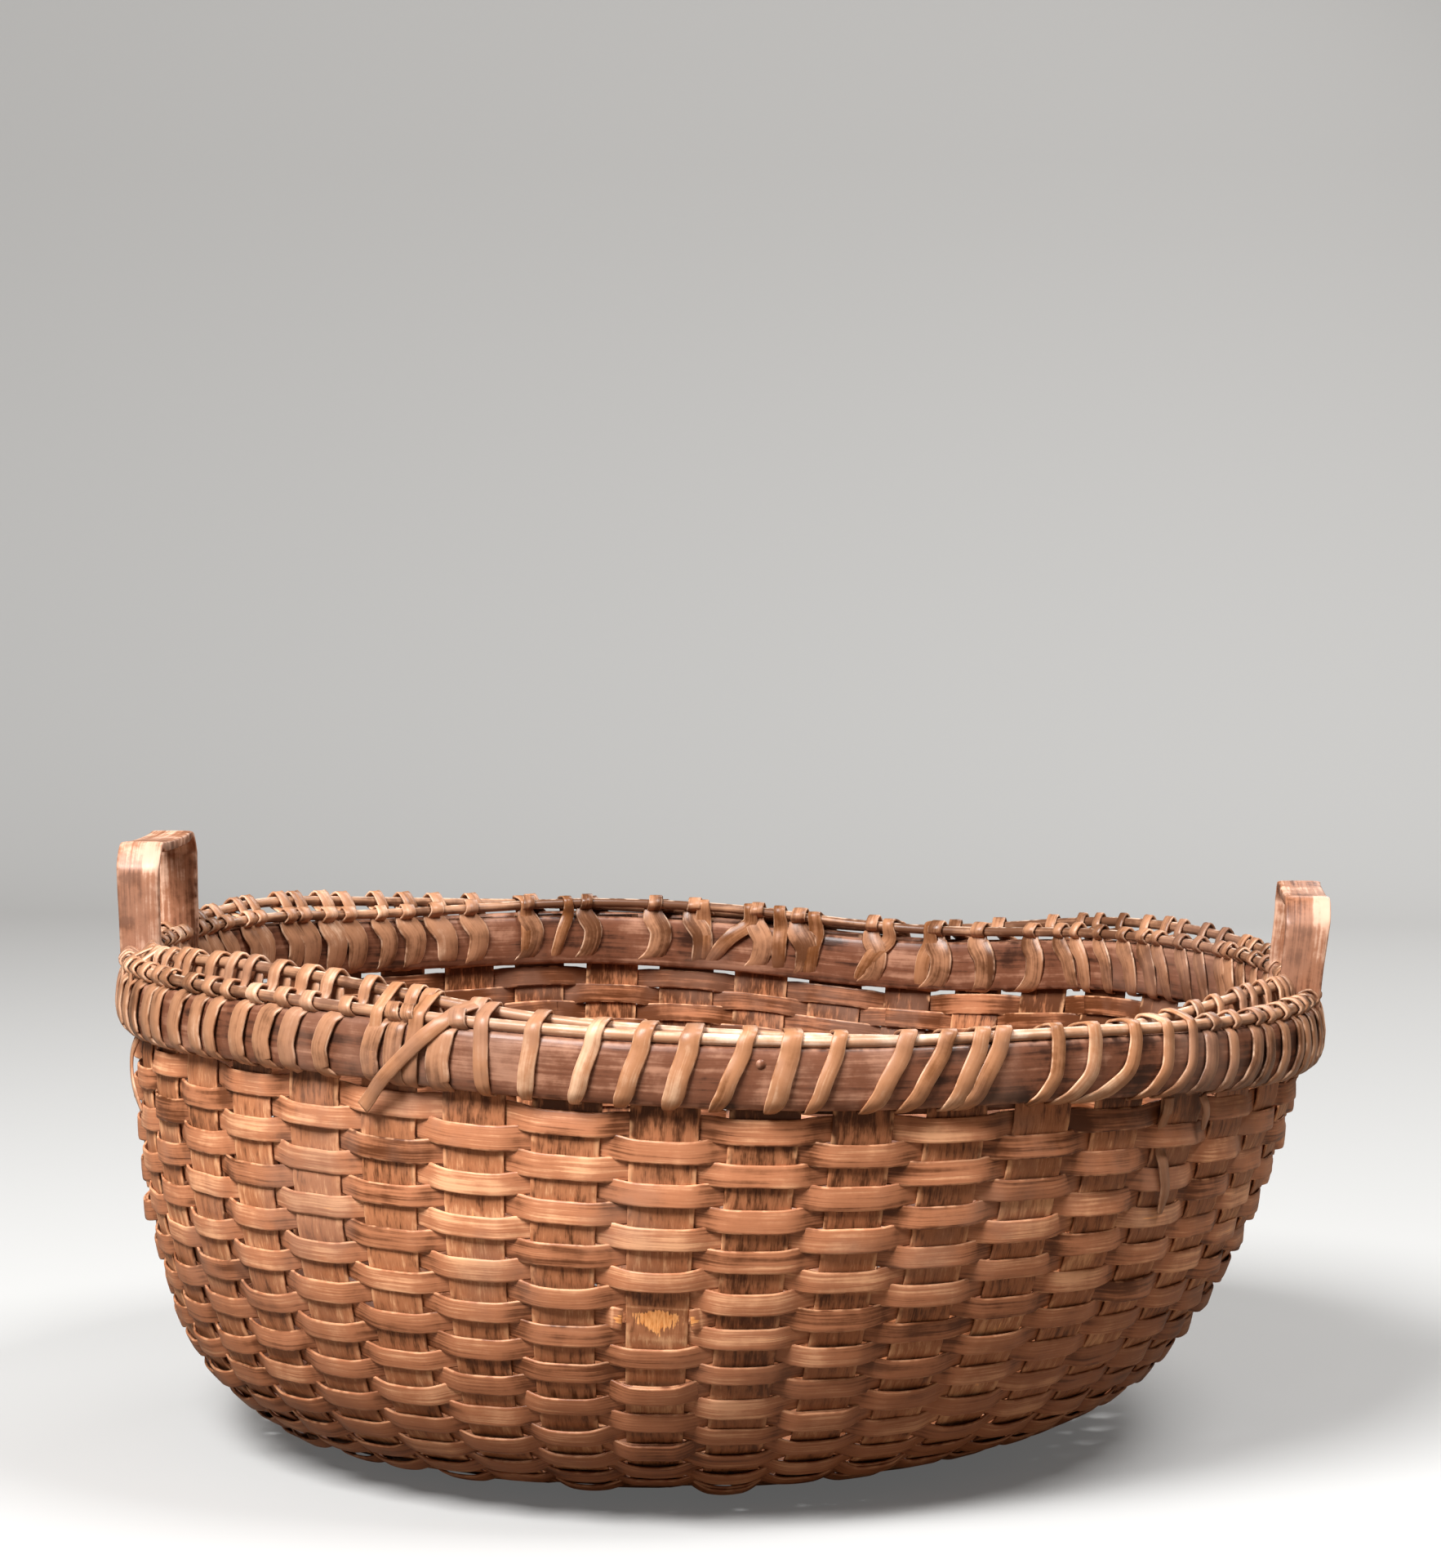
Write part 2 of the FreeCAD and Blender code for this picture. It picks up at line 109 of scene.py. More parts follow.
# Unevenness of the splints, as mean and spread; a woven row tilts by degrees
ROW_RISE = (0.0, 0.3 * MM)
ROW_WIDTH = (1.0, 0.05)
ROW_BULGE = (0.6, 0.35)
ROW_TILT = (5.0, 4.0)
ROW_TONE = (0.5, 0.07)
STAKE_WIDTH = (1.0, 0.03)
STAKE_TONE = (0.5, 0.1)
PATCHES = (0.0, 0.12)
CROSSING_SHADE = 0.25

# Rim, measured on the frame
OUTER_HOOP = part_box("outer_hoop")
INNER_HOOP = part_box("inner_hoop")
OUTER_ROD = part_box("outer_rim_rod")
INNER_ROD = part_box("inner_rim_rod")
HOOP_HEIGHT = OUTER_HOOP[1].z - OUTER_HOOP[0].z
ROD_DIAMETER = OUTER_ROD[1].z - OUTER_ROD[0].z
ROD_RADIUS = ROD_DIAMETER / 2.0
OUTER_FACE = OUTER_HOOP[1].x
OUTER_HOOP_THICK = 6.5 * MM
INNER_HOOP_THICK = 5.5 * MM
INNER_FACE = INNER_HOOP[1].x - INNER_HOOP_THICK
STAKE_TOP = OUTER_HOOP[1].z - 1.0 * MM
OUTER_ROD_RADIUS = OUTER_ROD[1].x - ROD_RADIUS
INNER_ROD_RADIUS = INNER_ROD[1].x - ROD_RADIUS
OUTER_ROD_HEIGHT = (OUTER_ROD[0].z + OUTER_ROD[1].z) / 2.0
INNER_ROD_HEIGHT = (INNER_ROD[0].z + INNER_ROD[1].z) / 2.0
OUTER_HOOP_MIDDLE = (OUTER_HOOP[0].z + OUTER_HOOP[1].z) / 2.0
INNER_HOOP_MIDDLE = (INNER_HOOP[0].z + INNER_HOOP[1].z) / 2.0
RIM_STATIONS = 8
RIM_WAVER = 0.3 * MM
HOOP_TONE = 0.5
ROD_TONE = 0.15

# The head of a peg in the front of the outer hoop, with its sections' stand off the hoop
PEG_ANGLE = math.radians(-82.0)
PEG_HEIGHT = OUTER_HOOP_MIDDLE + 5.5 * MM
PEG_SIZE = 3.4 * MM
PEG_STANDS = (-2.0 * MM, -0.2 * MM, 0.1 * MM)
PEG_TONE = 0.6

# The photograph's camera, in the object's frame
PHOTO_HEIGHT = 1920
FOCAL_PIXELS = 4861.0
SENSOR = 36.0
CAMERA_DISTANCE = 1.592
CAMERA_HEIGHT = 0.347
CAMERA_DOWN = 0.057
CAMERA_TURN = math.radians(4.7)

# Long use has lifted the rim in some places and sunk it in others: angle and reach in degrees, lift in mm
RIM_WARP = ((180.0, 85.0, 8.0), (-120.0, 50.0, 6.0), (-12.0, 50.0, -6.0),
            (70.0, 26.0, -5.0), (112.0, 34.0, 6.0), (150.0, 32.0, 4.0))
OUTER_ROD_WARP = ((148.0, 45.0, 7.0), (40.0, 50.0, 6.0), (-150.0, 40.0, 1.2), (-15.0, 30.0, 1.2))
INNER_ROD_WARP = ((-80.0, 45.0, -2.5), (-55.0, 30.0, -4.0), (-135.0, 40.0, 6.5),
                  (-20.0, 28.0, 5.5), (140.0, 50.0, -2.5), (40.0, 40.0, -2.0))
INNER_HOOP_WARP = ((-64.0, 50.0, -6.0), (125.0, 70.0, -4.0), (40.0, 50.0, -2.5), (82.0, 45.0, -3.0))
WARP_FOOT = 30.0 * MM

# The rim's pieces change tone round the basket: the front rods are lighter, as painted light, and the back
# and right are darker, as painted shade mixed with dirt: angle and reach in degrees, change of tone
ROD_PAINTED_LIGHT_AND_DIRT = ((-72.0, 70.0, 0.5), (85.0, 80.0, -0.2))
HOOP_PAINTED_SHADE_AND_DIRT = ((-20.0, 60.0, -0.35), (160.0, 60.0, -0.15))
STRAND_PAINTED_SHADE_AND_DIRT = ((80.0, 110.0, -0.22),)

# The base has curled up a little on the right
CURL_START = 20.0 * MM
CURL_END = 190.0 * MM
CURL_TOP = 70.0 * MM
CURL_LIFT = 6.0 * MM

# The wall has drawn in: height, then share of the half width on the left and on the right
DRAWN_IN = ((0.0, 0.044, 0.0), (20.0 * MM, 0.044, 0.008), (45.0 * MM, 0.025, 0.026),
            (85.0 * MM, 0.021, 0.019), (125.0 * MM, 0.014, 0.015), (160.0 * MM, 0.0, 0.0))

# One row has broken in front of one stake, which lost a chip there; the top row is stained over another.
# The break's ends and the torn run are in stakes, and the chip's place and fading in rows
BROKEN_ROW = 9
BROKEN_ENDS = (0.38, -0.36)
TORN_RUN = 0.2
TORN_TONE = 1.8
CHIPPED_STAKE = 31
CHIP_DROP = 0.62
CHIP_SPREAD = 3.2
CHIP_FALL = 4.1
CHIP_TONE = 1.8
STAINED_STAKE = 36
STAIN = 0.55

# Painted shade: the stakes darken under and between the hoops of the rim
RIM_SHADE = 0.3
RIM_SHADE_RUN = 16.0 * MM


class Socket:
    """An output in a node tree. Arithmetic on it adds Math nodes to that tree."""

    def __init__(self, nodes, output):
        self.nodes = nodes
        self.output = output

    def __add__(self, other):
        return self.nodes.math("ADD", self, other)

    def __sub__(self, other):
        return self.nodes.math("SUBTRACT", self, other)

    def __rsub__(self, other):
        return self.nodes.math("SUBTRACT", other, self)

    def __mul__(self, other):
        return self.nodes.math("MULTIPLY", self, other)

    def __truediv__(self, other):
        return self.nodes.math("DIVIDE", self, other)

    def __pow__(self, other):
        return self.nodes.math("POWER", self, other)

    __radd__ = __add__
    __rmul__ = __mul__


class Nodes:
    """A node tree that is being built, for shapes or for finishes."""

    def __init__(self, tree):
        self.tree = tree

    def add(self, kind, settings=None, inputs=None, output=0):
        """One new node: its settings first, then its sockets by name or number."""
        node = self.tree.nodes.new(kind)
        for name, value in (settings or {}).items():
            setattr(node, name, value)
        for key, value in (inputs or {}).items():
            if isinstance(value, Socket):
                self.tree.links.new(value.output, node.inputs[key])
            else:
                node.inputs[key].default_value = value
        return Socket(self, node.outputs[output]) if node.outputs else None

    def math(self, operation, *values):
        return self.add("ShaderNodeMath", {"operation": operation}, dict(enumerate(values)))

    def vector(self, operation, *values):
        return self.add("ShaderNodeVectorMath", {"operation": operation}, dict(enumerate(values)))

    def scaled(self, vector, amount):
        return self.add("ShaderNodeVectorMath", {"operation": "SCALE"}, {0: vector, "Scale": amount})

    def combine(self, x, y, z):
        return self.add("ShaderNodeCombineXYZ", None, {0: x, 1: y, 2: z})

    def split(self, vector):
        """The three parts of a vector."""
        node = self.add("ShaderNodeSeparateXYZ", None, {0: vector}).output.node
        return [Socket(self, output) for output in node.outputs]

    def noise(self, vector, scale=1.0, detail=2.0, roughness=0.5):
        values = {"Vector": vector, "Scale": scale, "Detail": detail, "Roughness": roughness}
        return self.add("ShaderNodeTexNoise", {"noise_dimensions": "3D"}, values)

    def smooth(self, value, low, high):
        """0 below low, 1 above high, eased between them."""
        ends = {"Value": value, "From Min": low, "From Max": high}
        return self.add("ShaderNodeMapRange", {"interpolation_type": "SMOOTHSTEP"}, ends)

    def mix(self, share, first, second):
        return self.add("ShaderNodeMix", {"data_type": "RGBA"}, {0: share, 6: first, 7: second}, 2)

    def socket(self, name):
        """A named input of the tree itself."""
        return self.add("NodeGroupInput", output=name)


# Shapes

# Waves for each metre of a splint, in its edges and its fibres; the noise of the two edges lies apart
EDGE_WAVES = 60.0
EDGE_APART = 9.0
FIBRE_WAVES = 14.0

# Tones run from dark at 0 to pale at 1; well above this one the wood is laid bare
WHOLE_TONE = 0.8


def splint_tree():
    """Geometry Nodes: sweeps a rounded flat section along the stations of a path mesh."""
    tree = bpy.data.node_groups.new("splint_along_path", "GeometryNodeTree")
    sizes = ("Squareness", "Crown", "Fibre depth", "Fibre width", "Edge wander", "Inner shade", "Seed")
    floats = [(name, "Float") for name in sizes]
    for name, kind in (("Path", "Geometry"), ("Corners", "Int"), *floats, ("Cane", "Material")):
        tree.interface.new_socket(name, in_out="INPUT", socket_type="NodeSocket" + kind)
    tree.interface.new_socket("Splint", in_out="OUTPUT", socket_type="NodeSocketGeometry")
    nodes = Nodes(tree)
    path = nodes.socket("Path")
    corners = nodes.socket("Corners")
    around = corners + 1
    count = nodes.add(
        "GeometryNodeAttributeDomainSize", {"component": "MESH"}, {"Geometry": path}, "Point Count")
    skin = nodes.add("GeometryNodeMeshGrid", None, {"Vertices X": count, "Vertices Y": around}, "Mesh")
    index = nodes.add("GeometryNodeInputIndex")
    station = nodes.math("FLOOR", index / around)
    turn = (index - station * around) * math.tau / corners

    def sampled(value, kind):
        links = {"Geometry": path, "Value": value, "Index": station}
        return nodes.add("GeometryNodeSampleIndex", {"data_type": kind, "domain": "POINT"}, links)

    def carried(name, kind):
        value = nodes.add("GeometryNodeInputNamedAttribute", {"data_type": kind}, {"Name": name})
        return sampled(value, kind)

    def squared(value):
        size = nodes.math("ABSOLUTE", value) ** nodes.socket("Squareness")
        return nodes.math("SIGN", value) * size

    middle = sampled(nodes.add("GeometryNodeInputPosition"), "FLOAT_VECTOR")
    side = carried("side", "FLOAT_VECTOR")
    face = carried("face", "FLOAT_VECTOR")
    half_width = carried("half_width", "FLOAT")
    half_thick = carried("half_thick", "FLOAT")
    along = carried("along", "FLOAT")
    seed = nodes.socket("Seed")
    across = squared(nodes.math("COSINE", turn))
    through = squared(nodes.math("SINE", turn))
    edge = nodes.math("SIGN", across) * EDGE_APART
    wander = nodes.noise(nodes.combine(along * EDGE_WAVES, edge, seed)) - 0.5
    aside = across * half_width * (1.0 + wander * nodes.socket("Edge wander"))
    fibre_place = aside / nodes.socket("Fibre width")
    fibres = nodes.noise(nodes.combine(fibre_place, along * FIBRE_WAVES, seed), detail=3.0) - 0.5
    lift = through * half_thick * (1.0 + fibres * nodes.socket("Fibre depth"))
    lift = lift + (1.0 - across * across) * half_width * nodes.socket("Crown")
    place = nodes.vector("ADD", nodes.scaled(side, aside), nodes.scaled(face, lift))
    place = nodes.vector("ADD", middle, place)
    shape = nodes.add("GeometryNodeSetPosition", None, {"Geometry": skin, "Position": place})
    tone = carried("tone", "FLOAT")
    bare = nodes.math("MAXIMUM", tone - WHOLE_TONE, 0.0)
    tone = tone - nodes.math("LESS_THAN", through, 0.0) * (bare + nodes.socket("Inner shade"))
    marks = {"cane": ("FLOAT_VECTOR", nodes.combine(along, aside, across)), "tone": ("FLOAT", tone)}
    for name, (kind, value) in marks.items():
        links = {"Geometry": shape, "Name": name, "Value": value}
        shape = nodes.add("GeometryNodeStoreNamedAttribute", {"data_type": kind, "domain": "POINT"}, links)
    shape = nodes.add("GeometryNodeMergeByDistance", None, {"Geometry": shape, "Distance": 0.01 * MM})
    neighbours = nodes.add("GeometryNodeInputMeshEdgeNeighbors")
    equal = {"data_type": "INT", "operation": "EQUAL"}
    loose = nodes.add("FunctionNodeCompare", equal, {2: neighbours, 3: 0})
    links = {"Geometry": shape, "Selection": loose}
    shape = nodes.add("GeometryNodeDeleteGeometry", {"domain": "EDGE"}, links)
    shape = nodes.add("GeometryNodeSetShadeSmooth", None, {"Geometry": shape})
    shape = nodes.add("GeometryNodeRealizeInstances", None, {"Geometry": shape})
    links = {"Geometry": shape, "Material": nodes.socket("Cane")}
    shape = nodes.add("GeometryNodeSetMaterial", None, links)
    nodes.add("NodeGroupOutput", None, {"Splint": shape})
    return tree


SPLINT = splint_tree()


def eased(share):
    share = np.clip(share, 0.0, 1.0)
    return share * share * (3.0 - 2.0 * share)


def warp(angles, bumps):
    """Lift or change of tone at angles round the basket, in degrees, from soft bumps."""
    lift = 0.0
    for centre, reach, height in bumps:
        away = np.abs((angles - centre + 180.0) % 360.0 - 180.0)
        lift = lift + height * eased(1.0 - away / reach)
    return lift


def settled(places):
    """The same places after long use: warped rim and upper wall, drawn-in sides and curled base."""
    angles = np.degrees(np.arctan2(places[:, 1], places[:, 0]))
    share = eased((places[:, 2] - WARP_FOOT) / (WALL_TOP - WARP_FOOT))
    curl = eased((places[:, 0] - CURL_START) / (CURL_END - CURL_START))
    curl = curl * eased(1.0 - places[:, 2] / CURL_TOP)
    heights, *sides = zip(*DRAWN_IN)
    left, right = (np.interp(places[:, 2], heights, side) for side in sides)
    places[:, 0] *= 1.0 - np.where(places[:, 0] < 0.0, left, right)
    places[:, 2] += share * warp(angles, RIM_WARP) * MM + curl * CURL_LIFT
    return places


class Path:
    """Stations of one or more splints: where each passes, which way it faces and its size there."""

    def __init__(self):
        names = ("place", "side", "face", "half_width", "half_thick", "along", "tone")
        self.columns = {name: [] for name in names}

    def strip(self, places, faces, width, thick, tone, closed=False):
        """Add one splint through places; width, thick and tone are numbers or one for each place."""
        places = settled(np.array(places, float))
        faces = np.array(faces, float)
        count = len(places)
        tangents = np.gradient(places, axis=0)
        if closed:
            tangents[0] = tangents[-1] = places[1] - places[-2]
        sides = np.cross(faces, tangents)
        sides /= np.linalg.norm(sides, axis=1)[:, None]
        faces = np.cross(tangents, sides)
        faces /= np.linalg.norm(faces, axis=1)[:, None]
        steps = np.linalg.norm(np.diff(places, axis=0), axis=1)
        columns = {
            "place": places,
            "side": sides,
            "face": faces,
            "half_width": np.broadcast_to(np.array(width, float) / 2.0, count),
            "half_thick": np.broadcast_to(np.array(thick, float) / 2.0, count),
            "along": np.concatenate([[0.0], np.cumsum(steps)]),
            "tone": np.broadcast_to(np.array(tone, float), count),
        }
        for name, values in columns.items():
            if not closed:
                size = 0.0 if name.startswith("half") else 1.0
                values = np.concatenate([size * values[:1], values, size * values[-1:]])
            self.columns[name].append(values)

    def mesh(self, name):
        """Loose points that carry the stations to the shape."""
        columns = {key: np.concatenate(values) for key, values in self.columns.items()}
        mesh = bpy.data.meshes.new(name)
        mesh.from_pydata(columns.pop("place").tolist(), [], [])
        for key, values in columns.items():
            kind, field = ("FLOAT_VECTOR", "vector") if values.ndim == 2 else ("FLOAT", "value")
            attribute = mesh.attributes.new(key, kind, "POINT")
            attribute.data.foreach_set(field, values.astype(np.float32).ravel())
        return mesh


def placed(name, data):
    """A new object in the scene."""
    item = bpy.data.objects.new(name, data)
    bpy.context.scene.collection.objects.link(item)
    return item


def piece(name, path, slot, material, nodes, **sizes):
    """Turn a path into a finished piece that stands for its nodes and rides on the basket."""
    item = placed(name, path.mesh(name))
    modifier = item.modifiers.new("splint", "NODES")
    modifier.node_group = SPLINT
    values = {"Corners": 10, "Squareness": 0.45, "Crown": 0.0, "Fibre depth": 0.0, "Fibre width": 1.0 * MM,
              "Edge wander": 0.0, "Inner shade": 0.0, "Seed": 0.0, "Cane": material}
    values.update({key.replace("_", " ").capitalize(): value for key, value in sizes.items()})
    for entry in SPLINT.interface.items_tree:
        if entry.in_out == "INPUT" and entry.name in values:
            modifier[entry.identifier] = values[entry.name]
    graph = bpy.context.evaluated_depsgraph_get()
    shape = item.evaluated_get(graph)
    mesh = bpy.data.meshes.new_from_object(shape, preserve_all_data_layers=True, depsgraph=graph)
    item.modifiers.clear()
    item.data = mesh
    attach(item, BODY)
    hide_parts(*nodes)


def leaned(x, y, z):
    """Shift a point sideways: the base stands off-centre under the rim."""
    return Vector((x - BASE_OFFSET * max(0.0, 1.0 - z / WALL_TOP), y, z))


def bowl(run):
    """Radius, height and steepness of the wall's middle, a run down from the foot of the rim."""
    if run <= 0.0:
        return RIM_RADIUS, WALL_TOP - run, math.pi / 2.0
    if run <= WALL_RUN:
        steep = math.pi / 2.0 - run / WALL_RADIUS
        radius = RIM_RADIUS - WALL_RADIUS * (1.0 - math.sin(steep))
        return radius, WALL_TOP - WALL_RADIUS * math.cos(steep), steep
    steep = CORNER_ANGLE - (run - WALL_RUN) / CORNER_RADIUS
    radius = CORNER_END_RADIUS - CORNER_RADIUS * (math.sin(CORNER_ANGLE) - math.sin(steep))
    return radius, CORNER_END_HEIGHT - CORNER_RADIUS * (math.cos(steep) - math.cos(CORNER_ANGLE)), steep


def base(radius):
    """Height and steepness of the base's middle at a radius."""
    if radius <= DISH_END_RADIUS:
        steep = math.asin(max(0.0, radius - BASE_FLAT_RADIUS) / DISH_RADIUS)
        return BASE_LEVEL + DISH_RADIUS * (1.0 - math.cos(steep)), steep
    steep = math.asin(math.sin(DISH_ANGLE) + (radius - DISH_END_RADIUS) / CORNER_RADIUS)
    return DISH_END_HEIGHT + CORNER_RADIUS * (math.cos(DISH_ANGLE) - math.cos(steep)), steep


def on_wall(run, angle, lift=0.0, across=0.0):
    """Point of the wall and its outward direction, lifted off it and moved across."""
    radius, height, steep = bowl(run)
    out, up = math.sin(steep), -math.cos(steep)
    lean = STAKE_PLUMB * BASE_OFFSET * max(0.0, 1.0 - height / WALL_TOP)
    angle -= lean * math.sin(angle) / radius
    radius += lift * out
    x = radius * math.cos(angle) - across * math.sin(angle)
    y = radius * math.sin(angle) + across * math.cos(angle)
    return leaned(x, y, height + lift * up), Vector((out * math.cos(angle), out * math.sin(angle), up))


def row_edges():
    """Runs down the wall at the boundaries of the woven rows, closer together towards the foot."""
    count = len(WEAVERS)
    shares = [1.0 - (1.0 - ROW_TAPER) * i / (count - 1) for i in range(count)]
    return [ROW_START + (WEAVE_RUN - ROW_START) * sum(shares[:i]) / sum(shares) for i in range(count + 1)]


ROW_EDGES = row_edges()


def blended(values, place):
    """Value at a place along a ring of values, eased from each to the next."""
    low = math.floor(place)
    share = eased(place - low)
    return values[low % len(values)] * (1.0 - share) + values[(low + 1) % len(values)] * share


def weave_wave(place, crossing):
    """1 at even places, -1 at odd places; crossing is the share of the way that the change takes."""
    low = math.floor(place)
    side = 1.0 - 2.0 * eased((place - low - 0.5) / crossing + 0.5)
    return side if low % 2 == 0 else -side


def weaver_path(row):
    """One woven row: a thin splint over one stake and under the next, its ends lapped behind a stake."""
    rng = random.Random(100 + row)

    def uneven(values):
        return [rng.gauss(*values) for _ in range(STAKE_ENDS)]

    rise = uneven(ROW_RISE)
    wide = uneven(ROW_WIDTH)
    bulge = [abs(share) * WEAVER_BULGE for share in uneven(ROW_BULGE)]
    tilt = [math.radians(angle) for angle in uneven(ROW_TILT)]
    tone = uneven(PATCHES)
    row_tone = rng.gauss(*ROW_TONE)
    pitch = ROW_EDGES[row + 1] - ROW_EDGES[row]
    first = 2 * rng.randrange(STAKE_ENDS // 2) + (row + 1) % 2
    start, end, torn = first - LAP_END, first + STAKE_ENDS + WEAVER_LAP + LAP_END, 0.0
    if row == BROKEN_ROW:
        start = CHIPPED_STAKE + BROKEN_ENDS[0]
        end = CHIPPED_STAKE + STAKE_ENDS + BROKEN_ENDS[1]
        torn = TORN_TONE
    count = int((end - start) * WEAVER_STATIONS)
    places, faces, widths, tones = [], [], [], []
    for i in range(count + 1):
        stake = start + (end - start) * i / count
        wave = weave_wave(stake + row, WEAVER_CROSSING)
        lap = eased((stake - end + WEAVER_LAP + 0.5) / LAP_CLIMB) if not torn else 0.0
        lift = wave * (WEAVER_LIFT + lap * WEAVER_THICK)
        lift += max(0.0, math.cos(math.pi * (stake + row))) * blended(bulge, stake)
        run = (ROW_EDGES[row] + ROW_EDGES[row + 1]) / 2.0 + blended(rise, stake) + WEAVER_SAG * wave
        place, face = on_wall(run, (stake + 0.5) * SECTOR, lift)
        lean = blended(tilt, stake) * max(0.0, wave)
        places.append(place)
        faces.append((face + Vector((0.0, 0.0, math.tan(lean)))).normalized())
        spread = WEAVER_PINCH + (WEAVER_SPREAD - WEAVER_PINCH) * abs(wave)
        widths.append(pitch * spread * blended(wide, stake))
        fresh = torn * eased(1.0 - min(stake - start, end - stake) / TORN_RUN)
        away = abs((stake - STAINED_STAKE) % STAKE_ENDS)
        stain = STAIN * (row == 0) * eased(2.0 - 2.0 * min(away, STAKE_ENDS - away))
        shade = CROSSING_SHADE * (1.0 - abs(wave))
        tones.append(row_tone + blended(tone, stake) - shade + fresh - stain)
    path = Path()
    path.strip(places, faces, widths, WEAVER_THICK, tones)
    return path


def grid(count, index):
    """Place of one stake of a set, across the base."""
    return (index - (count - 1) / 2.0) * BASE_PITCH


def stake_wall(angle, drift, rng):
    """Stations of a stake from its top, between the hoops, down to the foot of the wall."""
    end = round(angle / SECTOR - 0.5) % STAKE_ENDS
    patches = [rng.gauss(*PATCHES) for _ in ROW_EDGES]
    top = WALL_TOP - STAKE_TOP
    count = int((WEAVE_RUN - top) / STAKE_STEP)
    stations = []
    for i in range(count + 1):
        run = top + (WEAVE_RUN - top) * i / count
        row = np.interp(run, ROW_EDGES, range(len(ROW_EDGES)))
        sway = STAKE_SWAY * math.cos(math.pi * (row - 0.5 + end)) if run > 0.0 else 0.0
        share = max(0.0, run / WEAVE_RUN)
        across = drift * math.sin(math.pi * share)
        place, face = on_wall(run, angle, -sway, across)
        away = abs(row - BROKEN_ROW - CHIP_DROP)
        chip = CHIP_TONE * (end == CHIPPED_STAKE) * eased(CHIP_SPREAD - CHIP_FALL * away)
        width = STAKE_WIDTH_RIM + (STAKE_WIDTH_FOOT - STAKE_WIDTH_RIM) * share
        # Painted shade under the rim
        rim_shade = RIM_SHADE * eased(1.0 - run / RIM_SHADE_RUN)
        stations.append((place, face, width, patches[int(row)] + chip - rim_shade))
    return stations


def base_station(x, y, lift, width):
    """Station of a stake in the base."""
    height, steep = base(math.hypot(x, y))
    out = Vector((x, y, 0.0)).normalized() * math.sin(steep)
    return leaned(x, y, height + lift), Vector((out.x, out.y, -math.cos(steep))), width, 0.0


def stake_path(index, crosswise):
    """One stake, from the rim down the wall, through the plait of the base and up the other side."""
    rng = random.Random(300 + index + 50 * crosswise)
    own, other = (CROSSWISE, LENGTHWISE) if crosswise else (LENGTHWISE, CROSSWISE)
    across = grid(len(own), index)
    edge = grid(len(other), len(other) - 1) + PLAIT_REACH
    fan = (index - (len(own) - 1) / 2.0) * SECTOR
    angles = (math.pi / 2.0 + fan, -math.pi / 2.0 - fan) if crosswise else (fan, math.pi - fan)
    drift = rng.gauss(0.0, STAKE_DRIFT)
    near, far = (stake_wall(angle, drift, rng) for angle in angles)
    radius = bowl(WEAVE_RUN)[0]
    stations = list(near)

    def turned(along):
        return (-across, along) if crosswise else (along, across)

    def fan_stations(angle, sign):
        foot = (radius * math.cos(angle), radius * math.sin(angle))
        brink = turned(sign * edge)
        for i in range(1, FAN_STEPS):
            share = i / FAN_STEPS
            x = foot[0] + (brink[0] - foot[0]) * share
            y = foot[1] + (brink[1] - foot[1]) * share
            width = FAN_COVER * (SECTOR * radius * (1.0 - share) + BASE_PITCH * share)
            yield base_station(x, y, FAN_LIFT * math.sin(math.pi * share) * (-1.0) ** index, width)

    stations += fan_stations(angles[0], 1.0)
    count = int(2.0 * edge / STAKE_STEP)
    for i in range(count + 1):
        along = edge - 2.0 * edge * i / count
        crossing = along / BASE_PITCH + (len(other) - 1) / 2.0
        lift = 0.0 if crosswise else -PLAIT_STEP * weave_wave(crossing + index, PLAIT_CROSSING)
        stations.append(base_station(*turned(along), lift, STAKE_WIDTH_BASE))
    stations += list(fan_stations(angles[1], -1.0))[::-1]
    stations += far[::-1]
    places, faces, widths, tones = zip(*stations)
    widths = np.array(widths) * rng.gauss(*STAKE_WIDTH)
    tones = np.array(tones) + rng.gauss(*STAKE_TONE)
    path = Path()
    path.strip(places, faces, widths, STAKE_THICK, tones)
    return path


def rim_point(radius, height, angle):
    return Vector((radius * math.cos(angle), radius * math.sin(angle), height))


def ring_path(radius, height, width, thick, seed, tone, bumps, painted_light_and_dirt):
    """Closed ring of the rim: a hoop on edge or a thin rod, with a slight waver."""
    rng = random.Random(seed)
    waves = [(turns, rng.gauss(0.0, RIM_WAVER / turns), rng.uniform(0.0, math.tau))
             for turns in (2, 3, 5, 7)]
    places, faces, tones = [], [], []
    count = STAKE_ENDS * RIM_STATIONS
    for i in range(count + 1):
        angle = math.tau * i / count
        shift = sum(size * math.sin(turns * angle + phase) for turns, size, phase in waves)
        shift += warp(math.degrees(angle), bumps) * MM
        places.append(rim_point(radius, height + shift, angle))
        faces.append((math.cos(angle), math.sin(angle), 0.0))
        # Lighter and darker round the ring: painted light and shade, mixed with dirt
        tones.append(tone + warp(math.degrees(angle), painted_light_and_dirt))
    places[-1] = places[0]
    path = Path()
    path.strip(places, faces, width, thick, tones, closed=True)
    return path


def smooth_line(corners, steps):
    """Smooth line through corner points (position first, then any other values)."""
    corners = np.array(corners, float)
    padded = np.concatenate([
        2.0 * corners[:1] - corners[1:2], corners, 2.0 * corners[-1:] - corners[-2:-1]])
    line = []
    for i in range(len(corners) - 1):
        a, b, c, d = padded[i:i + 4]
        for step in range(steps):
            t = step / steps
            line.append(b + 0.5 * t * (c - a + t * (2 * a - 5 * b + 4 * c - d + t * (3 * (b - c) + d - a))))
    line.append(corners[-1])
    return np.array(line)


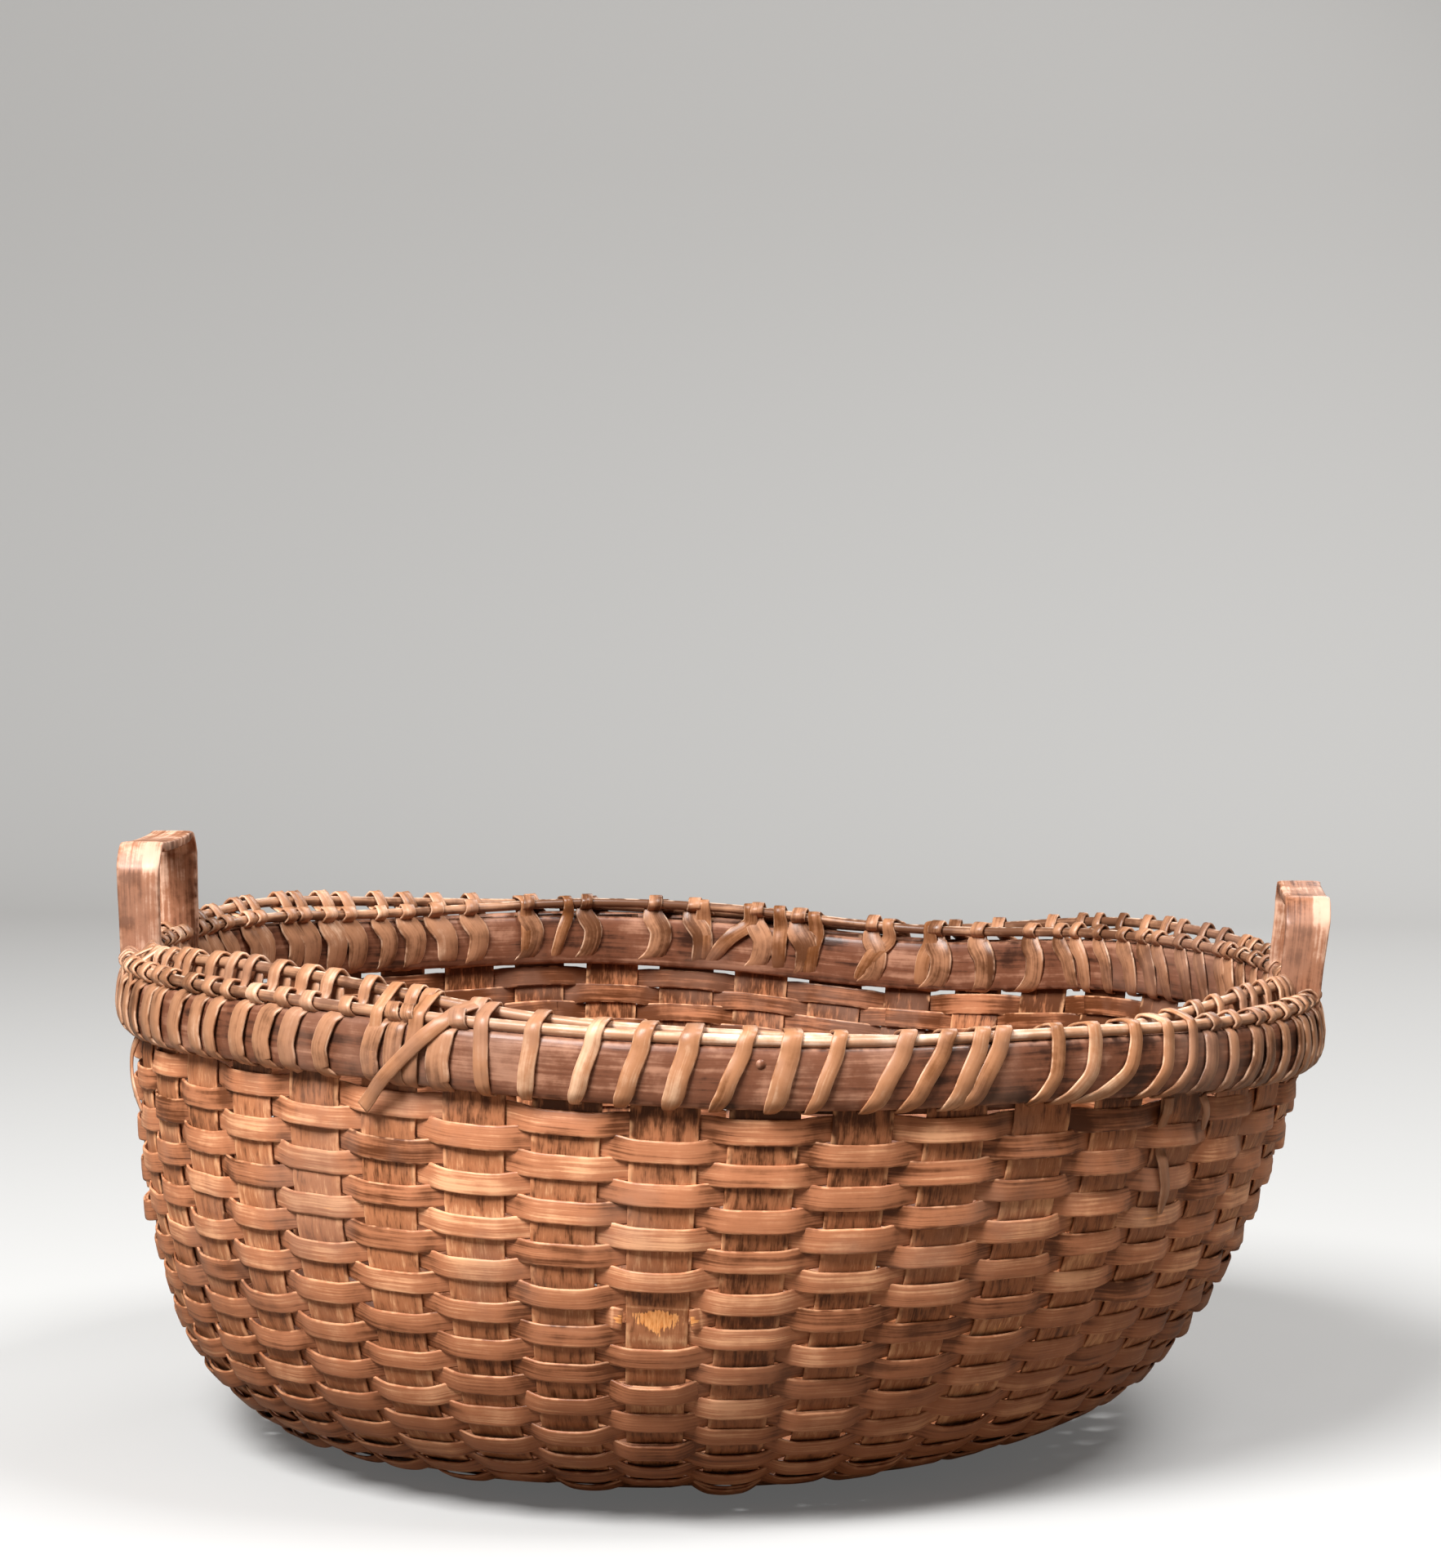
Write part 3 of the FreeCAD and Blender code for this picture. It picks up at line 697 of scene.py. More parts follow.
# Lashing: each turn goes up the outer hoop, over the rods and down the inner hoop
STRAND_THICK = 1.1 * MM
STRAND_SPARE = 0.6 * MM
STRAND_FOOT = OUTER_HOOP[0].z - STRAND_SPARE
STRAND_OUT = OUTER_FACE + STRAND_SPARE
STRAND_IN = INNER_FACE - STRAND_SPARE
STRAND_OVER = ROD_RADIUS + STRAND_SPARE
RING_OVER = STRAND_OVER + 0.8 * MM
VALLEY_RADIUS = (OUTER_ROD_RADIUS + INNER_ROD_RADIUS) / 2.0
STRAND_SLACK = 0.3 * MM
STRAND_STEPS = 4
LOOSE_STEPS = 8
OLD_WIDTH = 8.8 * MM
RIGHT_WIDTH = 7.0 * MM
NEW_WIDTH = 5.9 * MM
WIDTH_SPREAD = 0.09
TONE_SPREAD = 0.1
FRONT_TONE = 0.5
BACK_TONE = 0.4

# How a turn bows on the outer hoop: shares of its slant at the foot, low, in the middle and high
HOOKED = (-0.35, 0.05, 0.76, 0.97)
STRAIGHT = (-0.04, 0.09, 0.43, 0.78)
BOWED = (0.6, 0.35, 0.32, 0.65)

# Turns of the newer golden strand: angle of the foot and slant from foot to top, in degrees
FRONT_TURNS = ((-116.2, 0.6), (-112.4, 0.8), (-105.4, -0.3), (-101.8, 0.8), (-97.6, 2.0),
               (-93.7, 2.2), (-89.6, 2.0), (-85.8, 2.9), (-81.1, 1.9), (-77.8, 2.6),
               (-73.0, 3.7), (-69.8, 4.1), (-65.9, 3.3), (-64.4, 3.8))
FRONT_END_TURNS = ((-57.5, 2.0), (-54.6, 3.0), (-51.6, 4.6), (-45.6, 2.6), (-42.5, 2.8))
BACK_TURNS = ((68.0, 1.6), (71.1, 3.5), (78.6, 4.8), (84.4, 3.2), (88.0, 3.1), (96.1, 0.6))
FAR_BACK_TURNS = ((110.0, 2.6), (114.3, 3.5))
LEFT_OVER_TURNS = ((197.5, 0.8), (203.0, 0.8))

# The older strands: node, first and last angle, pitch and slant in degrees, width, bow and tone
OLD_STRANDS = (
    ("lashing_right", (-38.5, 50.0, 3.3, 1.8), RIGHT_WIDTH, HOOKED, 0.35),
    ("lashing_back", (53.0, 127.0, 6.2, 1.6), OLD_WIDTH, BOWED, 0.4),
    ("lashing_left", (130.0, 231.0, 3.5, 1.4), OLD_WIDTH, BOWED, 0.45),
    ("lashing_front", (234.5, 250.0, 3.4, 1.6), OLD_WIDTH, BOWED, 0.4),
)

# A newer turn that lies loose across the others: angle in degrees, radius and height
CROSSING_TURN = (
    (-107.0, INNER_ROD_RADIUS, INNER_ROD_HEIGHT + STRAND_OVER),
    (-108.2, OUTER_ROD_RADIUS, OUTER_ROD_HEIGHT + STRAND_OVER + 0.6 * MM),
    (-109.0, OUTER_ROD_RADIUS + STRAND_OVER, OUTER_ROD_HEIGHT),
    (-110.6, STRAND_OUT + 1.6 * MM, STRAND_FOOT + HOOP_HEIGHT - 3.0 * MM),
    (-112.6, STRAND_OUT + 2.2 * MM, STRAND_FOOT + 0.5 * HOOP_HEIGHT),
    (-114.8, STRAND_OUT + 1.6 * MM, STRAND_FOOT + 2.0 * MM),
    (-116.4, STRAND_OUT - 0.6 * MM, STRAND_FOOT - 5.0 * MM),
    (-117.3, STRAND_OUT - 1.0 * MM, STRAND_FOOT - 9.0 * MM),
)

# Loose ends that hang down the wall: run down it in mm, angle in degrees and lift off it in mm
LEFT_TAIL = ((0.0, -160.0, 3.0), (8.0, -161.0, 5.0), (18.0, -160.5, 5.0), (28.0, -159.0, 3.0))
FRONT_TAIL = ((0.0, -41.4, 3.0), (5.0, -41.3, 3.0), (10.0, -41.1, 1.2), (19.0, -40.7, 1.2),
              (25.0, -40.2, 3.4), (34.0, -39.4, 4.6), (44.0, -39.0, 4.0))
SHORT_TAIL = ((0.0, -36.6, 3.0), (6.0, -36.0, 4.6), (13.0, -35.7, 4.2))


def turn_corners(ringed, bow):
    """Corners of one turn, up and over the rim and then down inside it.

    Each is radius, height, share of the slant, share of the width and, where they aren't 0, the shift
    along in degrees and the shares of the outer and the inner rod's warp.
    """
    foot, low, middle, high = bow
    outside = [
        (STRAND_OUT - 4.2 * MM, STRAND_FOOT, foot, 0.6),
        (STRAND_OUT - 0.9 * MM, STRAND_FOOT + 2.5 * MM, low, 0.9),
        (STRAND_OUT + 0.3 * MM, STRAND_FOOT + 0.27 * HOOP_HEIGHT, (low + middle) / 2.0, 1.0),
        (STRAND_OUT + 0.8 * MM, STRAND_FOOT + 0.52 * HOOP_HEIGHT, middle, 1.0),
        (STRAND_OUT - 0.6 * MM, STRAND_FOOT + HOOP_HEIGHT - 2.0 * MM, high, 1.0),
    ]
    if ringed:
        over = [
            (OUTER_ROD_RADIUS, OUTER_HOOP[1].z + STRAND_SPARE, 1.0, 0.8, 0.1, 0.3),
            (VALLEY_RADIUS, OUTER_ROD_HEIGHT, 1.0, 0.65, 0.3, 0.6, 0.4),
            (OUTER_ROD_RADIUS, OUTER_ROD_HEIGHT + RING_OVER, 1.0, 0.65, 0.6, 1.0),
            (OUTER_ROD_RADIUS + RING_OVER, OUTER_ROD_HEIGHT, 1.0, 0.7, 0.9, 1.0),
            (OUTER_ROD_RADIUS, OUTER_ROD_HEIGHT - STRAND_OVER, 1.0, 0.6, 1.1, 1.0),
            (VALLEY_RADIUS, OUTER_ROD_HEIGHT, 1.0, 0.65, 1.3, 0.5, 0.5),
            (INNER_ROD_RADIUS + RING_OVER, INNER_ROD_HEIGHT, 1.0, 0.7, 1.5, 0.0, 1.0),
            (INNER_ROD_RADIUS, INNER_ROD_HEIGHT + RING_OVER, 1.0, 0.7, 1.7, 0.0, 1.0),
            (INNER_ROD_RADIUS - RING_OVER, INNER_ROD_HEIGHT, 1.0, 0.7, 1.9, 0.0, 1.0),
            (INNER_ROD_RADIUS, INNER_ROD_HEIGHT - STRAND_OVER, 1.0, 0.7, 2.0, 0.0, 1.0),
            (STRAND_IN + 2.4 * MM, INNER_HOOP[1].z + 0.3 * MM, 1.0, 0.8, 2.0),
        ]
    else:
        over = [
            (OUTER_ROD_RADIUS + STRAND_OVER, OUTER_ROD_HEIGHT, (high + 1.0) / 2.0, 0.95, 0.0, 1.0),
            (OUTER_ROD_RADIUS, OUTER_ROD_HEIGHT + STRAND_OVER, 1.03, 0.9, 0.0, 1.0),
            (INNER_ROD_RADIUS, INNER_ROD_HEIGHT + STRAND_OVER, 1.06, 0.9, 0.0, 0.0, 1.0),
            (INNER_ROD_RADIUS - STRAND_OVER, INNER_ROD_HEIGHT, 1.05, 0.9, 0.0, 0.0, 1.0),
        ]
    shift = over[-1][4]
    high, middle, low, foot = (1.0, 0.9, 0.7, 0.3) if ringed else (0.95, 0.5, 0.1, 0.0)
    inside = [
        (STRAND_IN + 0.6 * MM, INNER_HOOP[1].z - 4.0 * MM, high, 1.15, shift),
        (STRAND_IN - 0.8 * MM, INNER_HOOP_MIDDLE, middle, 1.15, 0.3 * shift),
        (STRAND_IN + 0.9 * MM, INNER_HOOP[0].z + 1.0 * MM, low, 1.0, 0.1 * shift),
        (STRAND_IN + 4.2 * MM, STRAND_FOOT, foot, 0.6),
    ]
    return outside + over, inside


def wind(path, turns, width, ringed, bow, tone, seed):
    """Add an unbroken strand wound round the rim; turns are angles of the foot and slants, in degrees."""
    rng = random.Random(seed)
    corners = []
    for order, (angle, slant) in enumerate(turns):
        following = turns[order + 1][0] if order + 1 < len(turns) else angle + slant
        size = rng.gauss(1.0, WIDTH_SPREAD)
        shade = rng.gauss(tone, TONE_SPREAD)
        for foot, half in zip((angle, following), turn_corners(ringed, bow)):
            for corner in half:
                radius, height, share, wide, shift, outer, inner = (*corner, 0.0, 0.0, 0.0)[:7]
                at = foot + (angle + slant - foot) * share + shift
                slack = abs(rng.gauss(0.0, STRAND_SLACK))
                height += (outer * warp(at, OUTER_ROD_WARP) + inner * warp(at, INNER_ROD_WARP)) * MM
                height += slack * (height > OUTER_ROD_HEIGHT)
                # Darker towards the back: painted shade mixed with dirt
                local_tone = shade + warp(at, STRAND_PAINTED_SHADE_AND_DIRT)
                corners.append((*rim_point(radius, height, math.radians(at)), wide * size * width, local_tone))
    line = smooth_line(corners, STRAND_STEPS)
    places = line[:, :3]
    angles = np.arctan2(places[:, 1], places[:, 0])
    round_rim = np.stack([-np.sin(angles), np.cos(angles), np.zeros(len(angles))], axis=1)
    faces = np.cross(round_rim, np.gradient(places, axis=0))
    path.strip(places, faces, line[:, 3], STRAND_THICK, line[:, 4])


def loose_strand(path, corners, width, tone):
    """Add a strand that lies over the others; it faces outwards on the hoop and upwards on the rods."""
    corners = [rim_point(radius, height, math.radians(angle)) for angle, radius, height in corners]
    line = smooth_line(corners, LOOSE_STEPS)
    bend = (OUTER_ROD_HEIGHT - 2.0 * MM, OUTER_ROD_HEIGHT + STRAND_OVER)
    faces = line * (1.0, 1.0, 0.0)
    faces[:, 2] = np.interp(line[:, 2], bend, (0.0, RIM_RADIUS))
    path.strip(line, faces, width, STRAND_THICK, tone)


def wall_tail(path, corners, width, tone):
    """Add a loose end that hangs down the wall and narrows to its tip."""
    line = smooth_line(corners, LOOSE_STEPS)
    places, faces = zip(*(on_wall(run * MM, math.radians(angle), lift * MM) for run, angle, lift in line))
    taper = np.interp(np.arange(len(line)), (0, len(line) - 6, len(line) - 1), (1.0, 1.0, 0.4))
    path.strip(places, faces, width * taper, STRAND_THICK, tone)


# Handles
HANDLE_THICK = 4.5 * MM
HANDLE_FOLD = 9.0 * MM
HANDLE_FOLD_THICK = 2.6 * MM
HANDLE_STEPS = 7
HANDLE_WORN = (0.9, 0.45)

# Node, end of the basket, lean along X and drop
HANDLES = (("handle_right", 1.0, 3.5 * MM, 5.0 * MM), ("handle_left", -1.0, -1.0 * MM, 0.0))


def handle_path(node, end, lean, drop):
    """Flat strap bent to a square arch, creased thin at its two folds, with its feet between the hoops."""
    low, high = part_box(node)
    middle = end * (abs(low.x) + abs(high.x)) / 2.0
    width = high.x - low.x
    reach = high.y - HANDLE_THICK / 2.0
    top = high.z - HANDLE_THICK / 2.0 - drop
    foot = OUTER_HOOP[0].z + 3.0 * MM
    shoulder = OUTER_HOOP[1].z - 1.0 * MM
    half = [
        (reach, foot, HANDLE_THICK, 0.5),
        (reach, shoulder - 4.0 * MM, HANDLE_THICK, 0.5),
        (reach, shoulder, HANDLE_THICK, 0.92),
        (reach + 0.6 * MM, (shoulder + top) / 2.0, HANDLE_THICK, 0.97),
        (reach + 0.4 * MM, top - HANDLE_FOLD - 2.0 * MM, HANDLE_THICK, 1.0),
        (reach - 0.6 * MM, top - HANDLE_FOLD + 3.0 * MM, HANDLE_FOLD_THICK, 1.03),
        (reach - HANDLE_FOLD + 3.0 * MM, top + 0.2 * MM, HANDLE_FOLD_THICK, 1.03),
        (reach - HANDLE_FOLD - 3.0 * MM, top - 0.4 * MM, HANDLE_THICK, 1.0),
        (reach - 2.5 * HANDLE_FOLD, top - 0.8 * MM, HANDLE_THICK, 1.0),
    ]
    corners = [(-y, *rest) for y, *rest in half] + half[::-1]
    line = smooth_line(corners, HANDLE_STEPS)
    leans = lean * eased((line[:, 1] - shoulder) / (top - shoulder))
    places = np.stack([middle + leans, line[:, 0], line[:, 1]], axis=1)
    faces = np.cross(np.gradient(places, axis=0), (1.0, 0.0, 0.0))
    faces *= np.sign(np.sum(faces * (places - (middle, 0.0, foot)), axis=1))[:, None]
    local_tone = np.interp(line[:, 2], (1.05 * HANDLE_FOLD_THICK, HANDLE_THICK), HANDLE_WORN)
    path = Path()
    path.strip(places, faces, width * line[:, 3], line[:, 2], local_tone)
    return path


# Finishes

# Marks on old cane, with a painted highlight on the rubbed edges and painted shade with grime at the foot:
# how fine the patches are, and the share of each in the colour
AGED_FINE = 45.0
EDGE_WEAR_AND_HIGHLIGHT_FINE = 180.0
EDGE_WEAR_AND_HIGHLIGHT = 0.65
DUST_FINE = 18.0
DUSTY = 0.45
FOOT_SHADE_AND_GRIME = 0.5
FOOT_SHADE_AND_GRIME_HEIGHTS = (0.01, 0.12)
SPECULAR = 0.3

# Dust in old cane, and wood freshly laid bare by a break or a chip: its colours, the tones between which
# it starts to show, and the tone of the skin left round it
DUST = (0.31, 0.168, 0.115)
FRESH = (1.0, 0.47, 0.17)
FRESH_DEEP = (0.74, 0.26, 0.065)
FRESH_TONES = (1.1, 1.25)
TORN_SKIN = 0.4


def blank(owner):
    """The emptied node tree of a material or a sky."""
    owner.use_nodes = True
    owner.node_tree.nodes.clear()
    return Nodes(owner.node_tree)


def cane(name, dark, mid, pale, grain, streaks, mottle, rough, relief):
    """Split cane with fibres along it, mottled by age, rubbed pale at its edges where a painted highlight
    also lies, and darkened at the foot by painted shade and grime.

    grain is a fibre's width and length and relief its height, in mm; streaks are the strengths of fine
    and broad fibres.
    """
    material = bpy.data.materials.new(name)
    nodes = blank(material)
    dark, mid, pale, dust, deep, bright = (
        (*colour, 1.0) for colour in (dark, mid, pale, DUST, FRESH_DEEP, FRESH))
    mark = nodes.add("ShaderNodeAttribute", {"attribute_name": "cane"}, output="Vector")
    tone = nodes.add("ShaderNodeAttribute", {"attribute_name": "tone"}, output="Fac")
    along, aside, across = nodes.split(mark)
    across = nodes.math("ABSOLUTE", across)
    spot = nodes.add("ShaderNodeTexCoord", output="Object")
    wide, long = (size * MM for size in grain)
    fine = nodes.noise(nodes.combine(aside / wide, along / long, 0.0), detail=3.0, roughness=0.6) - 0.5
    broad = nodes.noise(nodes.combine(aside / (4.0 * wide), along / (2.5 * long), 7.0), detail=2.0) - 0.5
    aged = nodes.noise(spot, scale=AGED_FINE, detail=5.0, roughness=0.65) - 0.5
    whole = nodes.math("MINIMUM", tone, nodes.math("MAXIMUM", 2.0 * WHOLE_TONE - tone, TORN_SKIN))
    shade = whole + fine * streaks[0] + broad * streaks[1] + aged * mottle
    colour = nodes.mix(nodes.smooth(shade, -0.1, 0.5), dark, mid)
    colour = nodes.mix(nodes.smooth(shade, 0.5, 1.1), colour, pale)
    # Pale edges: rubbed wear together with a painted highlight
    edge_wear_and_highlight = nodes.smooth(nodes.noise(spot, scale=EDGE_WEAR_AND_HIGHLIGHT_FINE), 0.42, 0.62)
    colour = nodes.mix(nodes.smooth(across, 0.8, 0.97) * edge_wear_and_highlight * EDGE_WEAR_AND_HIGHLIGHT, colour, pale)
    # Darker towards the foot: painted shade together with grime
    low = 1.0 - nodes.smooth(nodes.split(spot)[2], *FOOT_SHADE_AND_GRIME_HEIGHTS)
    dusty = nodes.smooth(nodes.noise(spot, scale=DUST_FINE, detail=4.0, roughness=0.6), 0.48, 0.66)
    colour = nodes.mix(dusty * (1.0 - low) * DUSTY, colour, dust)
    colour = nodes.mix(low * FOOT_SHADE_AND_GRIME, colour, dark)
    ragged = tone + fine * 2.8 + broad * 1.2 - across * 1.9
    chip = nodes.smooth(ragged, *FRESH_TONES)
    fresh = nodes.mix(nodes.smooth(fine, -0.15, 0.12), deep, bright)
    colour = nodes.mix(chip, colour, fresh)
    fibres = {"Strength": 0.6, "Distance": relief * MM, "Height": fine * 0.6 + broad * 0.4}
    surface = {
        "Base Color": colour,
        "Roughness": rough + fine * 0.25 + aged * 0.3,
        "Normal": nodes.add("ShaderNodeBump", None, fibres, "Normal"),
        "Specular IOR Level": SPECULAR,
    }
    shader = nodes.add("ShaderNodeBsdfPrincipled", None, surface)
    nodes.add("ShaderNodeOutputMaterial", None, {"Surface": shader})
    return material


WEAVER_CANE = cane(
    "weaver_cane", (0.12, 0.036, 0.012), (0.47, 0.183, 0.086), (0.86, 0.445, 0.24),
    grain=(0.8, 30.0), streaks=(1.2, 1.1), mottle=1.3, rough=0.42, relief=0.3)
STAKE_CANE = cane(
    "stake_cane", (0.10, 0.03, 0.009), (0.455, 0.175, 0.076), (0.82, 0.435, 0.225),
    grain=(0.7, 5.0), streaks=(1.1, 1.4), mottle=1.3, rough=0.5, relief=0.4)
HOOP_CANE = cane(
    "hoop_cane", (0.045, 0.017, 0.010), (0.172, 0.063, 0.033), (0.385, 0.187, 0.115),
    grain=(1.6, 40.0), streaks=(1.4, 1.7), mottle=2.4, rough=0.38, relief=0.4)
ROD_CANE = cane(
    "rod_cane", (0.13, 0.055, 0.028), (0.46, 0.24, 0.135), (0.92, 0.69, 0.53),
    grain=(1.0, 40.0), streaks=(1.0, 1.2), mottle=1.6, rough=0.36, relief=0.1)
OLD_CANE = cane(
    "old_lashing_cane", (0.12, 0.046, 0.02), (0.42, 0.20, 0.105), (0.80, 0.52, 0.35),
    grain=(0.8, 25.0), streaks=(0.7, 0.8), mottle=2.0, rough=0.35, relief=0.15)
NEW_CANE = cane(
    "new_lashing_cane", (0.16, 0.056, 0.018), (0.40, 0.18, 0.086), (0.68, 0.415, 0.26),
    grain=(0.8, 25.0), streaks=(0.7, 0.8), mottle=1.9, rough=0.36, relief=0.15)
HANDLE_CANE = cane(
    "handle_cane", (0.12, 0.04, 0.017), (0.345, 0.145, 0.076), (0.70, 0.43, 0.30),
    grain=(1.1, 35.0), streaks=(1.6, 1.6), mottle=3.4, rough=0.4, relief=0.3)


# Pieces

def make_wall():
    for row, node in enumerate(WEAVERS):
        piece("row_" + node, weaver_path(row), "weaver_splint", WEAVER_CANE, [node],
              corners=12, squareness=0.3, crown=0.02, edge_wander=0.1, fibre_depth=0.2, inner_shade=0.42,
              seed=row * 3.7)
    for crosswise, names in ((False, LENGTHWISE), (True, CROSSWISE)):
        for index, node in enumerate(names):
            piece("splint_" + node, stake_path(index, crosswise), "stake_splint", STAKE_CANE, [node],
                  corners=28, squareness=0.35, crown=0.012, edge_wander=0.03, fibre_depth=0.7,
                  fibre_width=1.3 * MM, inner_shade=0.42, seed=index * 5.3 + 90.0 * crosswise)


def make_rim():
    hoops = (
        ("outer_hoop", OUTER_FACE - OUTER_HOOP_THICK / 2.0, OUTER_HOOP_MIDDLE, OUTER_HOOP_THICK, 41),
        ("inner_hoop", INNER_FACE + INNER_HOOP_THICK / 2.0, INNER_HOOP_MIDDLE, INNER_HOOP_THICK, 42),
    )
    rods = (
        ("outer_rim_rod", OUTER_ROD_RADIUS, OUTER_ROD_HEIGHT, OUTER_ROD_WARP, 43),
        ("inner_rim_rod", INNER_ROD_RADIUS, INNER_ROD_HEIGHT, INNER_ROD_WARP, 44),
    )
    for name, radius, height, thick, seed in hoops:
        bumps, painted_light_and_dirt = ((), HOOP_PAINTED_SHADE_AND_DIRT) if name == "outer_hoop" else (INNER_HOOP_WARP, ())
        path = ring_path(radius, height, HOOP_HEIGHT, thick, seed, HOOP_TONE, bumps, painted_light_and_dirt)
        piece("rim_" + name, path, "hoop_wood", HOOP_CANE, [name], corners=24, squareness=0.75,
              fibre_depth=0.15, fibre_width=2.5 * MM, edge_wander=0.02)
    peg = Path()
    sections = [rim_point(OUTER_FACE + stand, PEG_HEIGHT, PEG_ANGLE) for stand in PEG_STANDS]
    peg.strip(sections, [(0.0, 0.0, 1.0)] * len(sections), PEG_SIZE, PEG_SIZE, PEG_TONE)
    piece("hoop_peg_head", peg, "hoop_wood", HOOP_CANE, ["outer_hoop"], corners=12, squareness=1.0)
    for name, radius, height, bumps, seed in rods:
        path = ring_path(radius, height, ROD_DIAMETER, ROD_DIAMETER, seed, ROD_TONE, bumps, ROD_PAINTED_LIGHT_AND_DIRT)
        piece("cane_" + name, path, "rim_rod", ROD_CANE, [name], corners=10, squareness=1.0)


def turns_between(first, last, pitch, slant, seed):
    """Evenly wound turns with some unevenness, from one angle to another, in degrees."""
    rng = random.Random(seed)
    count = int((last - first) / pitch)
    return [(first + (last - first) * i / count + rng.gauss(0.0, 0.1 * pitch), slant + rng.gauss(0.0, 0.6))
            for i in range(count + 1)]


def make_lashing():
    for order, (name, turns, width, bow, tone) in enumerate(OLD_STRANDS):
        path = Path()
        wind(path, turns_between(*turns, seed=61 + order), width, True, bow, tone, seed=70 + order)
        if name == "lashing_left":
            wind(path, LEFT_OVER_TURNS, NEW_WIDTH, False, BOWED, FRONT_TONE, seed=90)
            wall_tail(path, LEFT_TAIL, 0.8 * NEW_WIDTH, 0.6)
        piece("old_strand_" + name, path, "old_lashing", OLD_CANE, [name], corners=8, squareness=0.35,
              edge_wander=0.12, seed=order)
    front, back = Path(), Path()
    wind(front, FRONT_TURNS, NEW_WIDTH, False, STRAIGHT, FRONT_TONE, seed=81)
    wind(front, FRONT_END_TURNS, NEW_WIDTH, False, HOOKED, FRONT_TONE, seed=84)
    loose_strand(front, CROSSING_TURN, 0.95 * NEW_WIDTH, FRONT_TONE)
    wall_tail(front, FRONT_TAIL, 0.85 * NEW_WIDTH, FRONT_TONE)
    wall_tail(front, SHORT_TAIL, 0.7 * NEW_WIDTH, 0.6)
    wind(back, BACK_TURNS, NEW_WIDTH, False, STRAIGHT, BACK_TONE, seed=82)
    wind(back, FAR_BACK_TURNS, NEW_WIDTH, False, STRAIGHT, BACK_TONE, seed=83)
    for order, (name, path) in enumerate((("lashing_front", front), ("lashing_back", back))):
        piece("new_strand_" + name, path, "new_lashing", NEW_CANE, [name], corners=8, squareness=0.35,
              edge_wander=0.1, seed=order)


def make_handles():
    for name, end, lean, drop in HANDLES:
        piece("strap_" + name, handle_path(name, end, lean, drop), "handle_strap", HANDLE_CANE, [name],
              corners=24, squareness=0.35, edge_wander=0.03, fibre_depth=0.12, fibre_width=2.0 * MM,
              seed=end)


# Floor, light and camera

# The floor's colour as seen, a faint glow that keeps it pale far off, and the colour it throws back
FLOOR_SEEN = (0.415, 0.415, 0.41, 1.0)
FLOOR_GLOW = (0.1, 0.1, 0.099, 1.0)
FLOOR_LIT = (0.16, 0.125, 0.095, 1.0)
FLOOR_HALF = 6.0
SWEEP_START = 2.2
SWEEP_RADIUS = 0.8
SWEEP_TOP = 5.0

# Lamps: name, place, size and power
LAMPS = (
    ("key", (-1.02, -1.76, 2.3), 1.3, 184.0),
    ("overhead", (1.1, -0.5, 2.2), 0.8, 44.0),
    ("back", (1.0, 2.2, 1.8), 1.4, 26.0),
)
LAMP_TARGET = Vector((0.0, 0.0, 0.1))

# The sky as light on the basket and as seen, and how much brighter it is where it is seen
SKY_LIT = (1.0, 0.87, 0.73, 1.0)
SKY_SEEN = (1.0, 0.97, 0.93, 1.0)
SKY_STRENGTH = 0.11
SKY_SEEN_EXTRA = 0.59


def floor_finish():
    """Matt and pale as seen, with little light thrown back up at the basket."""
    material = bpy.data.materials.new("pale_floor")
    nodes = blank(material)
    seen = nodes.add("ShaderNodeLightPath", output="Is Camera Ray")
    colour = nodes.mix(seen, FLOOR_LIT, FLOOR_SEEN)
    glow = nodes.mix(seen, (0.0, 0.0, 0.0, 1.0), FLOOR_GLOW)
    surface = {"Base Color": colour, "Roughness": 0.9, "Emission Color": glow, "Emission Strength": 1.0}
    shader = nodes.add("ShaderNodeBsdfPrincipled", None, surface)
    nodes.add("ShaderNodeOutputMaterial", None, {"Surface": shader})
    return material


